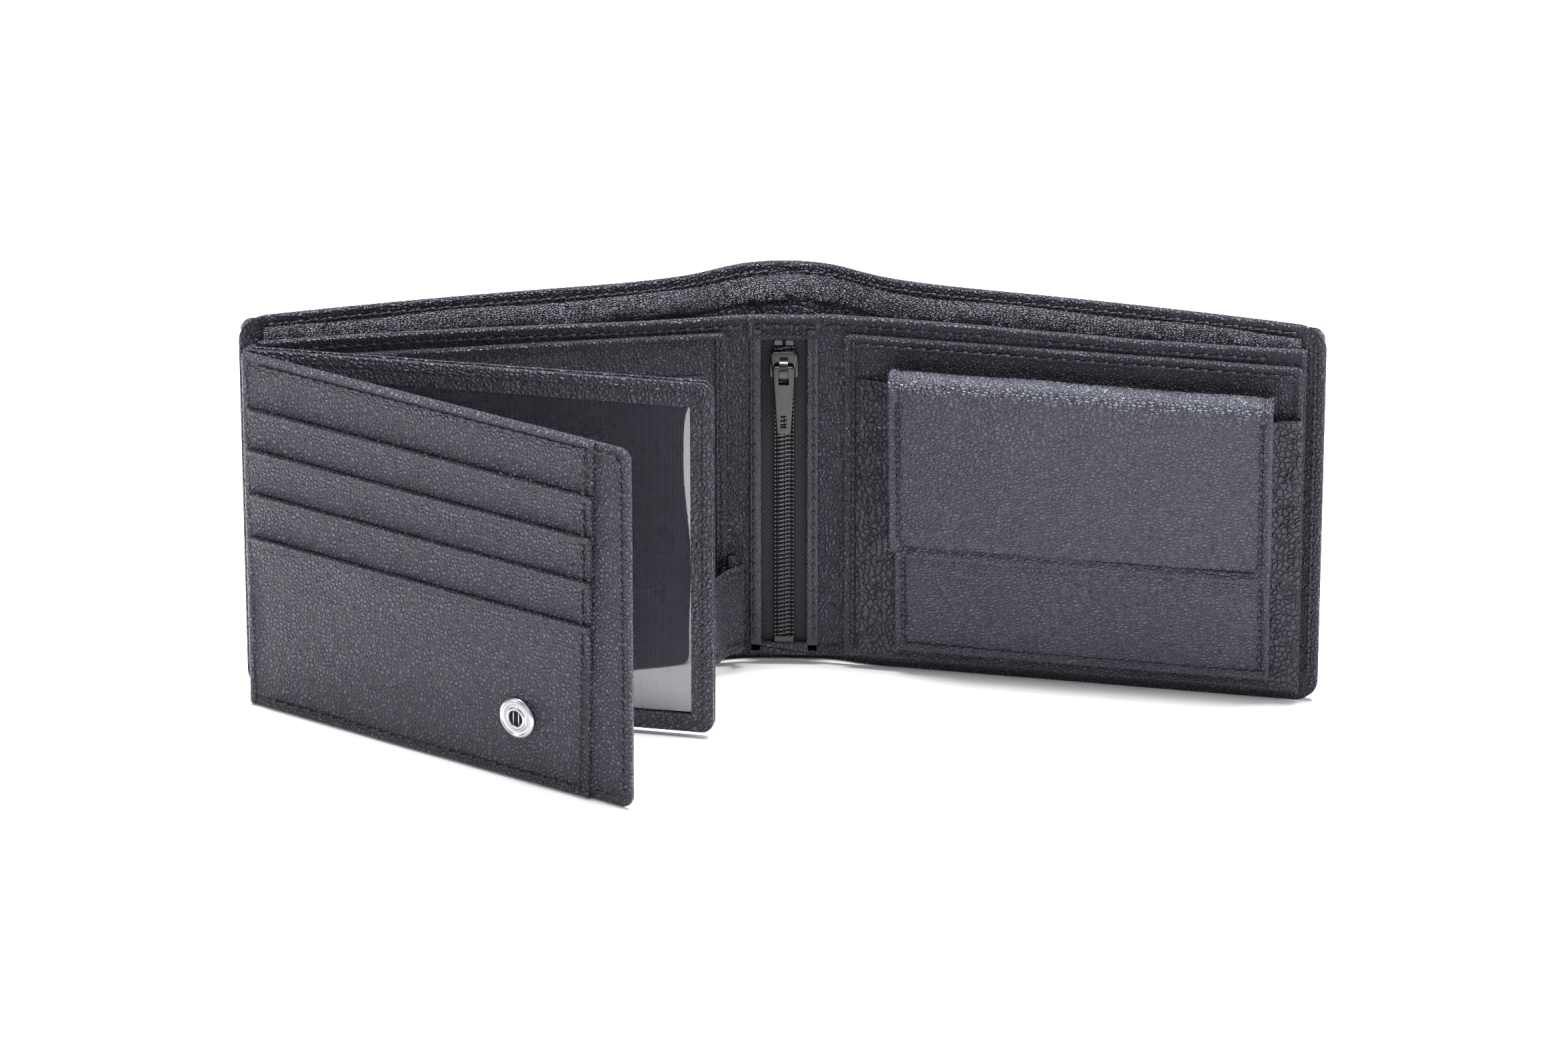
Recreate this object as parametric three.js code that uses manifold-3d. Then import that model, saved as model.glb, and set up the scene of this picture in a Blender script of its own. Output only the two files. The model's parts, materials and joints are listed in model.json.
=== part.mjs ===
// Trifold wallet, standing open on its bottom edge.
// Frame: +X right, +Y away from the reader of the wallet, +Z up, millimetres.
// The two halves turn about vertical creases on either side of the zip strip.
import * as THREE from 'three';
import { mergeVertices } from 'three/addons/utils/BufferGeometryUtils.js';
import Module from 'manifold-3d';

const wasm = await Module();
wasm.setup();

// ---------------------------------------------------------------- sizes
const GAP = 0.3;                 // air between two separate pieces
const COVER_HEIGHT = 95.5;
const HALF_WIDTH = 128.2;        // zip centre to the outer end, measured along x
const CORNER_RADIUS = 6;
const COVER_FACET = 8;           // about how wide one facet of the curved cover is
const COVER_LEATHER = 1.2;
const LINING = 0.6;
const TURNED_EDGE = 2.8;         // height of the turned top edge
const GAPE_WIDE = 9.6;           // how far the cover stands off along its whole length
const GAPE_PEAK = 9.2;           // and how much more at the top centre
const GAPE_PEAK_WIDTH = 22;

const HINGE_X = 10;              // crease lines either side of the zip
const BEND = 10.4;               // degrees each half is bent forward at rest
const PANEL = 1.2;               // inner panel leather
const PANEL_BOTTOM = 2.3;
const PANEL_TOP = 90;
const PANEL_END = 115.5;         // along a half, from its crease
const PANEL_CORNER = 2.5;
const CREASE_ROOM = 0.6;

const ZIP_WINDOW = 10.8;         // width of the opening that shows the zip
const ZIP_BOTTOM = 5.3;
const ZIP_TOP = 83.8;
const TAPE = 0.6;
const TAPE_EDGE = 7.4;
const COIL_HALF = 2.2;
const COIL_PITCH = 1.05;
const COIL_DEPTH = 1.1;
const SLIDER_Z = 77.2;           // slider centre at rest
const SLIDER_LENGTH = 7.4;
const SLIDER_WIDTH = 7.4;
const SLIDER_SKIN = 0.8;
const PULL_LENGTH = 17.2;
const PULL_WIDTH_TOP = 5.5;
const PULL_WIDTH_END = 3.5;
const PULL_THICKNESS = 1.1;

const BLOCK_EDGE = 3.8;          // left card block, from the crease
const BLOCK_END = 114;
const BLOCK_TOP = 86;
const BLOCK_SLOT = 75.6;

const LEAF_HINGE_S = 118;        // window leaf hinge along the left half
const LEAF_HINGE_N = 3.8;        // and in front of it
const WINDOW_ANGLE = 20.8;       // window leaf from the left half
const WINDOW_LENGTH = 112;
const WINDOW_BOTTOM = 1.4;
const WINDOW_TOP = 90;
const FRAME_RIGHT = 5.4;
const FRAME_TOP = 6.2;
const FRAME_BOTTOM = 4.6;
const FRAME_LEFT = 9;
const HINGE_BEAD = 0.75;         // radius of the rolled hinge edge of a leaf

const FRONT_HINGE_S = 118.6;
const FRONT_HINGE_N = 6.5;
const FRONT_ANGLE = 43.5;
const FRONT_LENGTH = 110.6;
const FRONT_BOTTOM = 0.3;
const FRONT_TOP = 89.7;
const SLOT_EDGE_TOP = 101.2;
const SLOT_EDGE_BOTTOM = 98.8;
const SLOTS = [76.6, 66.3, 55.2, 44.1];
const SLOT_SKIN = 0.5;
const SNAP_X = 78.8;
const SNAP_Z = 16.2;
const SNAP_RADIUS = 5;
const SNAP_HOLE = 1.7;

const STRAP_S = 1.4;             // strap hinge along the left half
const STRAP_N = 2.6;
const STRAP_Z0 = 5;
const STRAP_HEIGHT = 22.4;
const STRAP_SKIN = 1.2;
const STRAP_ROOT = 13;
const STRAP_TIP = 38;
const STRAP_ROOT_ANGLE = 50;
const STRAP_TIP_ANGLE = 4;
const STUD_BACK = 7;             // stud centre from the strap's end

const COIN_EDGE = 4.5;           // coin base panel, from the right crease
const COIN_END = 116;
const COIN_BASE_TOP = 86;
const COIN_BASE = 0.8;
const POCKET_LEFT = 17.4;
const POCKET_RIGHT = 108.6;
const POCKET_BOTTOM = 6;
const POCKET_TOP = 73.6;
const POCKET_SKIN = 1;
const POCKET_DEPTH = 4.6;        // inside depth at the mouth
const GUSSET_TOP = 75;
const GUSSET_LEFT = 8;
const GUSSET_RIGHT = 115;
const GUSSET_SKIN = 0.6;
const FLAP_LEFT = 16.4;
const FLAP_RIGHT = 109;
const FLAP_TOP = 79.2;
const FLAP_BOTTOM = 32;
const FLAP_SKIN = 1.4;
const FLAP_ROLL = 3.6;           // outer radius of the folded top
const FLAP_CORNER = 4;
const MAGNET_RADIUS = 5;
const MAGNET = 0.7;

// ---------------------------------------------------------------- helpers
const deg = THREE.MathUtils.degToRad;
const group = new THREE.Group();

const LEATHER = { color: 0x2d2d35, roughness: 0.55, metalness: 0 };
const LINED = { color: 0x26262d, roughness: 0.5, metalness: 0 };
const TAPE_CLOTH = { color: 0x1b1b20, roughness: 0.85, metalness: 0 };
const COIL = { color: 0x15151a, roughness: 0.3, metalness: 0 };
const DARK_METAL = { color: 0x1c1d22, roughness: 0.25, metalness: 0.9 };
const NICKEL = { color: 0xb9b8b4, roughness: 0.25, metalness: 1 };
const FILM = { color: 0xcfd3d8, roughness: 0.08, metalness: 0 };
const MESH_CLOTH = { color: 0x222228, roughness: 0.8, metalness: 0 };

function add(name, geometry, look) {
  const mesh = new THREE.Mesh(geometry, new THREE.MeshStandardMaterial(look));
  mesh.name = name;
  group.add(mesh);
}

// local frames: x along, y to the back, z up; each is turned about z and moved
function frame(x, y, degrees) {
  return { x, y, a: deg(degrees) };
}

function point(f, x, y) {
  return [f.x + x * Math.cos(f.a) - y * Math.sin(f.a), f.y + x * Math.sin(f.a) + y * Math.cos(f.a)];
}

function inner(f, x, y, degrees) {
  const [px, py] = point(f, x, y);
  return { x: px, y: py, a: f.a + deg(degrees) };
}

function put(geometry, f) {
  geometry.rotateZ(f.a);
  geometry.translate(f.x, f.y, 0);
  return geometry;
}

const SPINE = frame(0, 0, 0);
const LEFT = frame(-HINGE_X, 0, BEND);
const RIGHT = frame(HINGE_X, 0, -BEND);
const WINDOW = inner(LEFT, -LEAF_HINGE_S, -LEAF_HINGE_N, -WINDOW_ANGLE);
const FRONT = inner(LEFT, -FRONT_HINGE_S, -FRONT_HINGE_N, -FRONT_ANGLE);

// a polygon with each corner rounded by its own radius: [x, z, radius]
function outline(corners, Kind = THREE.Shape) {
  const path = new Kind();
  const n = corners.length;
  for (let i = 0; i < n; i += 1) {
    const [x, z, r] = corners[i];
    const before = corners[(i + n - 1) % n];
    const after = corners[(i + 1) % n];
    const p = new THREE.Vector2(x, z);
    const toBefore = new THREE.Vector2(before[0] - x, before[1] - z).normalize();
    const toAfter = new THREE.Vector2(after[0] - x, after[1] - z).normalize();
    const start = p.clone().addScaledVector(toBefore, r);
    const end = p.clone().addScaledVector(toAfter, r);
    if (i === 0) {
      path.moveTo(start.x, start.y);
    } else {
      path.lineTo(start.x, start.y);
    }
    if (r > 0) {
      path.quadraticCurveTo(x, z, end.x, end.y);
    }
  }
  path.closePath();
  return path;
}

function box(x0, z0, x1, z1, r = 0, Kind = THREE.Shape) {
  return outline([[x0, z0, r], [x1, z0, r], [x1, z1, r], [x0, z1, r]], Kind);
}

// a flat piece: the shape is (x, z), it fills y from front to back
function plate(shape, front, back, holes = [], bevel = 0.15) {
  shape.holes.push(...holes);
  const geometry = new THREE.ExtrudeGeometry(shape, {
    depth: back - front - 2 * bevel,
    curveSegments: 4,
    bevelEnabled: bevel > 0,
    bevelThickness: bevel,
    bevelSize: bevel,
    bevelOffset: -bevel,
    bevelSegments: 1,
  });
  geometry.rotateX(Math.PI / 2);
  geometry.translate(0, back - bevel, 0);
  return geometry;
}

// a curved piece between two grids of points
function sheet(nu, nv, frontAt, backAt) {
  const points = [];
  for (const at of [frontAt, backAt]) {
    for (let j = 0; j <= nv; j += 1) {
      for (let i = 0; i <= nu; i += 1) {
        points.push(...at(i / nu, j / nv));
      }
    }
  }
  const row = nu + 1;
  const far = row * (nv + 1);
  const faces = [];
  const quad = (a, b, c, d) => faces.push(a, b, c, a, c, d);
  for (let j = 0; j < nv; j += 1) {
    for (let i = 0; i < nu; i += 1) {
      const a = j * row + i;
      quad(a, a + 1, a + 1 + row, a + row);
      quad(far + a + row, far + a + 1 + row, far + a + 1, far + a);
    }
  }
  for (let i = 0; i < nu; i += 1) {
    const top = nv * row + i;
    quad(i, far + i, far + i + 1, i + 1);
    quad(top + 1, far + top + 1, far + top, top);
  }
  for (let j = 0; j < nv; j += 1) {
    const a = j * row;
    const b = j * row + nu;
    quad(a + row, far + a + row, far + a, a);
    quad(b, far + b, far + b + row, b + row);
  }
  const geometry = new THREE.BufferGeometry();
  geometry.setAttribute('position', new THREE.Float32BufferAttribute(points, 3));
  geometry.setIndex(faces);
  return geometry;
}

function toManifold(geometry) {
  const bare = new THREE.BufferGeometry();
  bare.setAttribute('position', geometry.getAttribute('position'));
  bare.setIndex(geometry.getIndex());
  const joined = mergeVertices(bare, 1e-4);
  return new wasm.Manifold(new wasm.Mesh({
    numProp: 3,
    vertProperties: new Float32Array(joined.getAttribute('position').array),
    triVerts: new Uint32Array(joined.getIndex().array),
  }));
}

function fromManifold(solid) {
  const mesh = solid.getMesh();
  const geometry = new THREE.BufferGeometry();
  geometry.setAttribute('position', new THREE.Float32BufferAttribute(mesh.vertProperties, 3));
  geometry.setIndex(Array.from(mesh.triVerts));
  return geometry;
}

function cut(geometry, ...tools) {
  let solid = toManifold(geometry);
  for (const tool of tools) {
    solid = solid.subtract(toManifold(tool));
  }
  return fromManifold(solid);
}

function join(...geometries) {
  let solid = toManifold(geometries[0]);
  for (const other of geometries.slice(1)) {
    solid = solid.add(toManifold(other));
  }
  return fromManifold(solid);
}

// a turned piece with its axis along y; the profile is [radius, y], closed
function turned(profile, x, z, segments = 28) {
  const loop = [...profile, profile[0]].map(([r, y]) => new THREE.Vector2(r, y));
  const geometry = new THREE.LatheGeometry(loop, segments);
  geometry.translate(x, 0, z);
  return geometry;
}

function drill(x, z, radius, front, back) {
  const geometry = new THREE.CylinderGeometry(radius, radius, back - front, 32);
  geometry.translate(x, (front + back) / 2, z);
  return geometry;
}

// ---------------------------------------------------------------- cover
function panelY(x) {
  return -Math.max(0, Math.abs(x) - HINGE_X) * Math.tan(deg(BEND));
}

function gape(x, z) {
  const along = Math.min(1, Math.abs(x) / (HALF_WIDTH - 2));
  const room = GAPE_WIDE * (1 - along ** 2.2) + GAPE_PEAK * Math.exp(-((x / GAPE_PEAK_WIDTH) ** 2));
  return room * Math.max(0, (z - 4) / (COVER_HEIGHT - 4)) ** 1.15;
}

const STAND_OFF = PANEL / Math.cos(deg(BEND)) + GAP + 0.05;

// the cover passes behind the zip's tapes and pouch, then comes in to the inner panels
const ZIP_STACK = TAPE + 0.5 + 2 * GAP + 0.2;
const ZIP_EASE = 14;

function coverY(x, z) {
  const past = Math.min(1, Math.max(0, (Math.abs(x) - HINGE_X) / ZIP_EASE));
  const ease = 1 - past * past * (3 - 2 * past);
  return panelY(x) + STAND_OFF + ZIP_STACK * ease + gape(x, z);
}

// the height limits at x, with the outer corners rounded
function cornerInset(x) {
  const into = Math.abs(x) - (HALF_WIDTH - CORNER_RADIUS);
  if (into <= 0) {
    return 0;
  }
  return CORNER_RADIUS - Math.sqrt(Math.max(0, CORNER_RADIUS ** 2 - into ** 2));
}

function creaseEdge(side, z, towardSpine) {
  const room = CREASE_ROOM / 2 + 0.096 * (gape(HINGE_X, z) + 3);
  return side * (HINGE_X + (towardSpine ? -room : room));
}

// one third of the cover: from and to give x at a height
function coverPiece(from, to, bottom, top, rows, front, back, columns, levels = 10) {
  const at = (offset) => (u, v) => {
    const guess = from(50) + (to(50) - from(50)) * u;
    const inset = cornerInset(guess);
    const low = Math.max(bottom, inset);
    const high = Math.min(top, COVER_HEIGHT - inset);
    const z = low + (high - low) * rows(v);
    const x = from(z) + (to(z) - from(z)) * u;
    return [x, coverY(x, z) + offset(v), z];
  };
  return sheet(columns, levels, at(front), at(back));
}

const ends = {
  left: [() => -HALF_WIDTH, (z) => creaseEdge(-1, z, false)],
  spine: [(z) => creaseEdge(-1, z, true), (z) => creaseEdge(1, z, true)],
  right: [(z) => creaseEdge(1, z, false), () => HALF_WIDTH],
};
const LINING_END = HALF_WIDTH - 5;
const liningEnds = {
  left: [() => -LINING_END, (z) => creaseEdge(-1, z, false)],
  spine: ends.spine,
  right: [(z) => creaseEdge(1, z, false), () => LINING_END],
};
const FACING_BOTTOM = COVER_HEIGHT - TURNED_EDGE - 6;

for (const part of ['left', 'spine', 'right']) {
  const columns = part === 'spine' ? 4 : Math.round(HALF_WIDTH / COVER_FACET);
  const edge = 1 - (TURNED_EDGE / COVER_HEIGHT);
  const rows = (v) => (v < 0.9 ? (v / 0.9) * edge : edge + ((v - 0.9) / 0.1) * (1 - edge));
  const front = (v) => (v > 0.95 ? 0 : LINING + GAP);
  add(`cover_${part}`, coverPiece(...ends[part], 0, COVER_HEIGHT, rows, front,
    () => LINING + GAP + COVER_LEATHER, columns), LEATHER);
  const even = (v) => v;
  add(`cover_lining_${part}`, coverPiece(...liningEnds[part], 4.5, FACING_BOTTOM - GAP, even,
    () => 0, () => LINING, columns, 6), LINED);
  add(`cover_facing_${part}`, coverPiece(...liningEnds[part], FACING_BOTTOM,
    COVER_HEIGHT - TURNED_EDGE - GAP, even, () => -0.1, () => LINING - 0.05, columns, 2), LEATHER);
}

// ---------------------------------------------------------------- inner panels
add('inner_panel_left', put(plate(outline([
  [-PANEL_END, PANEL_BOTTOM, PANEL_CORNER], [-CREASE_ROOM / 2, PANEL_BOTTOM, 0],
  [-CREASE_ROOM / 2, PANEL_TOP, 0], [-PANEL_END, PANEL_TOP, PANEL_CORNER],
]), 0, PANEL), LEFT), LEATHER);
add('inner_panel_right', put(plate(outline([
  [CREASE_ROOM / 2, PANEL_BOTTOM, 0], [PANEL_END, PANEL_BOTTOM, PANEL_CORNER],
  [PANEL_END, PANEL_TOP, PANEL_CORNER], [CREASE_ROOM / 2, PANEL_TOP, 0],
]), 0, PANEL), RIGHT), LEATHER);
const spineEdge = HINGE_X - CREASE_ROOM / 2;
add('zip_facing', plate(box(-spineEdge, PANEL_BOTTOM, spineEdge, PANEL_TOP), 0, PANEL, [
  box(-ZIP_WINDOW / 2, ZIP_BOTTOM, ZIP_WINDOW / 2, ZIP_TOP, 0.8, THREE.Path),
]), LEATHER);

// ---------------------------------------------------------------- zip
const tapeFront = PANEL + GAP;
const coilBack = tapeFront - GAP;
const coilFront = coilBack - COIL_DEPTH;
for (const [side, sign] of [['left', -1], ['right', 1]]) {
  const a = sign * (GAP / 2);
  const b = sign * TAPE_EDGE;
  const tape = box(Math.min(a, b), ZIP_BOTTOM - 1.5, Math.max(a, b), ZIP_TOP + 2);
  add(`zip_tape_${side}`, plate(tape, tapeFront, tapeFront + TAPE, [], 0), TAPE_CLOTH);
  const count = Math.floor((ZIP_TOP - ZIP_BOTTOM - 4) / COIL_PITCH);
  const start = ZIP_BOTTOM + 2.2;
  const teeth = new THREE.Shape();
  teeth.moveTo(sign * COIL_HALF, start);
  for (let i = 0; i < count; i += 1) {
    const z = start + i * COIL_PITCH;
    teeth.lineTo(sign * 0.75, z);
    teeth.lineTo(sign * 0.2, z + 0.25 * COIL_PITCH);
    teeth.lineTo(sign * 0.2, z + 0.6 * COIL_PITCH);
    teeth.lineTo(sign * 0.75, z + 0.85 * COIL_PITCH);
  }
  teeth.lineTo(sign * COIL_HALF, start + count * COIL_PITCH);
  teeth.closePath();
  add(`zip_coil_${side}`, plate(teeth, coilFront, coilBack, [], 0), COIL);
  const stop = box(Math.min(sign * 0.3, sign * 2.4), ZIP_TOP - 1.6,
    Math.max(sign * 0.3, sign * 2.4), ZIP_TOP - 0.1, 0.3);
  add(`zip_top_stop_${side}`, plate(stop, coilFront - 0.1, coilBack), DARK_METAL);
}
add('zip_bottom_stop', plate(box(-2.4, ZIP_BOTTOM + 0.3, 2.4, ZIP_BOTTOM + 1.9, 0.3),
  coilFront - 0.1, coilBack), DARK_METAL);
add('zip_pouch_lining', plate(box(-spineEdge + 0.4, PANEL_BOTTOM + 1, spineEdge - 0.4,
  PANEL_TOP - 3, 1), tapeFront + TAPE + GAP, tapeFront + TAPE + GAP + 0.5, [], 0), LINED);

// slider: a front plate with two side flanges, open to the coil behind
const sliderBack = coilFront - GAP;
const sliderFront = sliderBack - SLIDER_SKIN;
const halfSlider = SLIDER_WIDTH / 2;
const sliderTop = SLIDER_Z + SLIDER_LENGTH / 2;
const sliderLow = SLIDER_Z - SLIDER_LENGTH / 2;
const sliderPlate = plate(outline([
  [-halfSlider * 0.72, sliderLow, 0.8], [halfSlider * 0.72, sliderLow, 0.8],
  [halfSlider, sliderTop - 1.6, 0.8], [halfSlider * 0.7, sliderTop, 0.8],
  [-halfSlider * 0.7, sliderTop, 0.8], [-halfSlider, sliderTop - 1.6, 0.8],
]), sliderFront, sliderBack);
const flanges = [-1, 1].map((sign) => {
  const a = sign * (COIL_HALF + GAP);
  const b = sign * (COIL_HALF + GAP + 0.7);
  return plate(box(Math.min(a, b), sliderLow + 1, Math.max(a, b), sliderTop - 1.6),
    sliderBack - 0.4, coilBack, [], 0);
});
add('zip_slider', join(sliderPlate, ...flanges), DARK_METAL);

// bridge over the slider: an arch in the plane of the zip's length
const bridgeHalf = 0.9;
const pullZ = SLIDER_Z - 0.4;
const pullY = sliderFront - 1.3;
const archHalf = 2.7;
const archRise = 3.2;
const archBar = 0.85;
const arch = new THREE.Shape();
arch.moveTo(pullZ - archHalf, 0);
arch.quadraticCurveTo(pullZ - archHalf, archRise, pullZ, archRise);
arch.quadraticCurveTo(pullZ + archHalf, archRise, pullZ + archHalf, 0);
arch.lineTo(pullZ + archHalf - archBar, 0);
arch.quadraticCurveTo(pullZ + archHalf - archBar, archRise - archBar, pullZ, archRise - archBar);
arch.quadraticCurveTo(pullZ - archHalf + archBar, archRise - archBar, pullZ - archHalf + archBar, 0);
arch.closePath();
const bridge = new THREE.ExtrudeGeometry(arch, {
  depth: 2 * bridgeHalf, bevelEnabled: false, curveSegments: 8,
});
bridge.applyMatrix4(new THREE.Matrix4().makeBasis(
  new THREE.Vector3(0, 0, 1), new THREE.Vector3(0, -1, 0), new THREE.Vector3(1, 0, 0),
));
bridge.translate(-bridgeHalf, sliderFront - GAP / 6, 0);
add('zip_slider_bridge', bridge, DARK_METAL);

// pull tab, hanging from the bridge through its top window
const pullTop = pullZ + 1.0;
const pullEnd = pullTop - PULL_LENGTH;
const pull = plate(outline([
  [-PULL_WIDTH_END / 2, pullEnd, 0.9], [PULL_WIDTH_END / 2, pullEnd, 0.9],
  [PULL_WIDTH_TOP / 2, pullTop - 5, 1.5], [PULL_WIDTH_TOP / 2, pullTop, 0.9],
  [-PULL_WIDTH_TOP / 2, pullTop, 0.9], [-PULL_WIDTH_TOP / 2, pullTop - 5, 1.5],
]), pullY - PULL_THICKNESS / 2, pullY + PULL_THICKNESS / 2, [
  box(-bridgeHalf - GAP, pullTop - 4.6, bridgeHalf + GAP, pullTop - 0.8, 0.3, THREE.Path),
  box(-0.9, pullEnd + 1.4, 0.9, pullEnd + 5.2, 0.4, THREE.Path),
]);
add('zip_pull_tab', pull, DARK_METAL);

// ---------------------------------------------------------------- left card block
const blockBack = -GAP;
add('card_block_backing', put(plate(box(-BLOCK_END, PANEL_BOTTOM + 1, -BLOCK_EDGE, BLOCK_TOP, 1.5),
  blockBack - 0.5, blockBack), LEFT), LEATHER);
add('card_block_top_band', put(plate(box(-BLOCK_END + 0.5, BLOCK_SLOT + GAP, -BLOCK_EDGE - 0.3,
  BLOCK_TOP - 0.3, 1), blockBack - 1.3, blockBack - 0.5 - GAP), LEFT), LEATHER);
add('card_block_pocket', put(plate(box(-BLOCK_END + 0.5, PANEL_BOTTOM + 1.3, -BLOCK_EDGE - 0.3,
  BLOCK_SLOT, 1), blockBack - 1.3, blockBack - 0.5 - GAP), LEFT), LEATHER);

// ---------------------------------------------------------------- window leaf
const leafStart = HINGE_BEAD + 1.5 * GAP;
function bead(low, high) {
  const rod = new THREE.CylinderGeometry(HINGE_BEAD, HINGE_BEAD, high - low, 20);
  rod.rotateX(Math.PI / 2);
  rod.translate(0, 0, (low + high) / 2);
  return rod;
}
add('window_leaf_hinge', put(bead(WINDOW_BOTTOM + 1, WINDOW_TOP - 1), WINDOW), LEATHER);
const windowHole = [
  leafStart + FRAME_LEFT, WINDOW_BOTTOM + FRAME_BOTTOM,
  WINDOW_LENGTH - FRAME_RIGHT, WINDOW_TOP - FRAME_TOP,
];
const leafShape = () => box(leafStart, WINDOW_BOTTOM, WINDOW_LENGTH, WINDOW_TOP, 3);
add('window_frame_front', put(plate(leafShape(), -1.2, -0.45, [
  box(...windowHole, 1, THREE.Path),
]), WINDOW), LEATHER);
add('window_film', put(plate(box(leafStart + 2, WINDOW_BOTTOM + 2, WINDOW_LENGTH - 2,
  WINDOW_TOP - 2, 1), -0.15, 0.05, [], 0), WINDOW), FILM);
add('window_mesh', put(plate(box(leafStart + 2, WINDOW_BOTTOM + 2, WINDOW_LENGTH - 2,
  WINDOW_TOP - 2, 1), 0.3, 0.5, [], 0), WINDOW), MESH_CLOTH);
add('window_frame_back', put(plate(leafShape(), 0.78, 1.3), WINDOW), LEATHER);

// ---------------------------------------------------------------- front leaf
const slotEdge = (z) => SLOT_EDGE_BOTTOM
  + (SLOT_EDGE_TOP - SLOT_EDGE_BOTTOM) * ((z - FRONT_BOTTOM) / (FRONT_TOP - FRONT_BOTTOM));
add('front_leaf_hinge', put(bead(FRONT_BOTTOM + 1, FRONT_TOP - 1), FRONT), LEATHER);
const shank = drill(SNAP_X, SNAP_Z, 2.6 + GAP, -4, 4);
add('front_leaf_back', put(cut(plate(box(leafStart, FRONT_BOTTOM, FRONT_LENGTH, FRONT_TOP, 3),
  0.1, 0.9), shank), FRONT), LEATHER);
add('front_leaf_top_band', put(sheet(1, 2, (u, v) => {
  const z = SLOTS[0] - 1.4 + (FRONT_TOP - SLOTS[0] + 1.4) * v;
  return [leafStart + (slotEdge(z) - leafStart) * u, -0.8 - 0.5 * v, z];
}, (u, v) => {
  const z = SLOTS[0] - 1.4 + (FRONT_TOP - SLOTS[0] + 1.4) * v;
  return [leafStart + (slotEdge(z) - leafStart) * u, -0.3 - 0.5 * v, z];
}), FRONT), LEATHER);
for (let i = 0; i < SLOTS.length; i += 1) {
  const top = SLOTS[i];
  const low = i + 1 < SLOTS.length ? SLOTS[i + 1] - 1.4 : FRONT_BOTTOM;
  const last = i + 1 === SLOTS.length;
  const side = (thick) => (u, v) => {
    const z = low + (top - low) * v;
    const lean = last ? Math.max(0, (z - (top - 12)) / 12) : v;
    return [leafStart + (slotEdge(z) - leafStart) * u, -0.8 - 0.85 * lean + thick, z];
  };
  let panel = sheet(1, last ? 8 : 2, side(0), side(SLOT_SKIN));
  if (last) {
    panel = cut(panel, shank);
  }
  add(`front_leaf_slot_${i + 1}`, put(panel, FRONT), LEATHER);
}

// snap socket on the front leaf: flanged ring, spring and back cap
const ringBack = -0.8 - GAP;
add('snap_socket', put(turned([
  [SNAP_HOLE, ringBack], [SNAP_HOLE, ringBack - 0.7], [SNAP_HOLE + 0.5, ringBack - 1.15],
  [SNAP_RADIUS - 1.1, ringBack - 1.15], [SNAP_RADIUS, ringBack - 0.45],
  [SNAP_RADIUS, ringBack],
], SNAP_X, SNAP_Z), FRONT), NICKEL);
const wire = (offset) => {
  const rod = new THREE.CylinderGeometry(0.25, 0.25, 4.4, 12);
  rod.translate(SNAP_X + offset, 0, 0);
  const turn = new THREE.Matrix4().makeBasis(
    new THREE.Vector3(1, 0, 0), new THREE.Vector3(0, 0, 1), new THREE.Vector3(0, -1, 0),
  );
  rod.applyMatrix4(turn);
  rod.translate(0, -0.25, SNAP_Z);
  return rod;
};
add('snap_socket_spring', put(join(wire(-0.9), wire(0.9), plate(box(SNAP_X - 1.15,
  SNAP_Z + 1.9, SNAP_X + 1.15, SNAP_Z + 2.3), -0.45, -0.05, [], 0)), FRONT), NICKEL);
add('snap_socket_cap', put(turned([
  [0, 1.2], [SNAP_RADIUS - 0.6, 1.2], [SNAP_RADIUS, 1.45], [SNAP_RADIUS - 1, 1.75], [0, 1.8],
], SNAP_X, SNAP_Z), FRONT), NICKEL);

// ---------------------------------------------------------------- snap strap
const STRAP = inner(LEFT, -STRAP_S, -STRAP_N, STRAP_ROOT_ANGLE);
const TIP = inner(STRAP, -STRAP_ROOT, 0, STRAP_TIP_ANGLE - STRAP_ROOT_ANGLE);
add('strap_anchor', put(plate(box(-BLOCK_EDGE + GAP, STRAP_Z0, -CREASE_ROOM, STRAP_Z0 + STRAP_HEIGHT,
  0.6), -GAP - 1, -GAP), LEFT), LEATHER);
add('strap_root', put(plate(box(-STRAP_ROOT, STRAP_Z0, 0, STRAP_Z0 + STRAP_HEIGHT),
  -STRAP_SKIN / 2, STRAP_SKIN / 2), STRAP), LEATHER);
const studX = -STRAP_TIP + STUD_BACK;
const studZ = STRAP_Z0 + STRAP_HEIGHT / 2;
add('strap_tip', put(cut(plate(outline([
  [-STRAP_TIP, STRAP_Z0, 6], [-GAP - 0.2, STRAP_Z0, 0],
  [-GAP - 0.2, STRAP_Z0 + STRAP_HEIGHT, 0], [-STRAP_TIP, STRAP_Z0 + STRAP_HEIGHT, 6],
]), -STRAP_SKIN / 2, STRAP_SKIN / 2), drill(studX, studZ, 1.4 + GAP, -4, 4)), TIP), LEATHER);
const skinFace = STRAP_SKIN / 2 + GAP / 2;
add('strap_stud', put(turned([
  [0, skinFace - 1.2], [1.4, skinFace - 1.2], [1.4, skinFace], [3.4, skinFace],
  [3.4, skinFace + 0.35], [SNAP_HOLE - GAP, skinFace + 0.4], [SNAP_HOLE - GAP - 0.1, skinFace + 1.1],
  [0, skinFace + 1.2],
], studX, studZ), TIP), NICKEL);
add('strap_cap', put(turned([
  [0, -skinFace - 0.6], [SNAP_RADIUS - 1.4, -skinFace - 0.5], [SNAP_RADIUS - 0.4, -skinFace],
  [0, -skinFace],
], studX, studZ), TIP), NICKEL);

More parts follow.
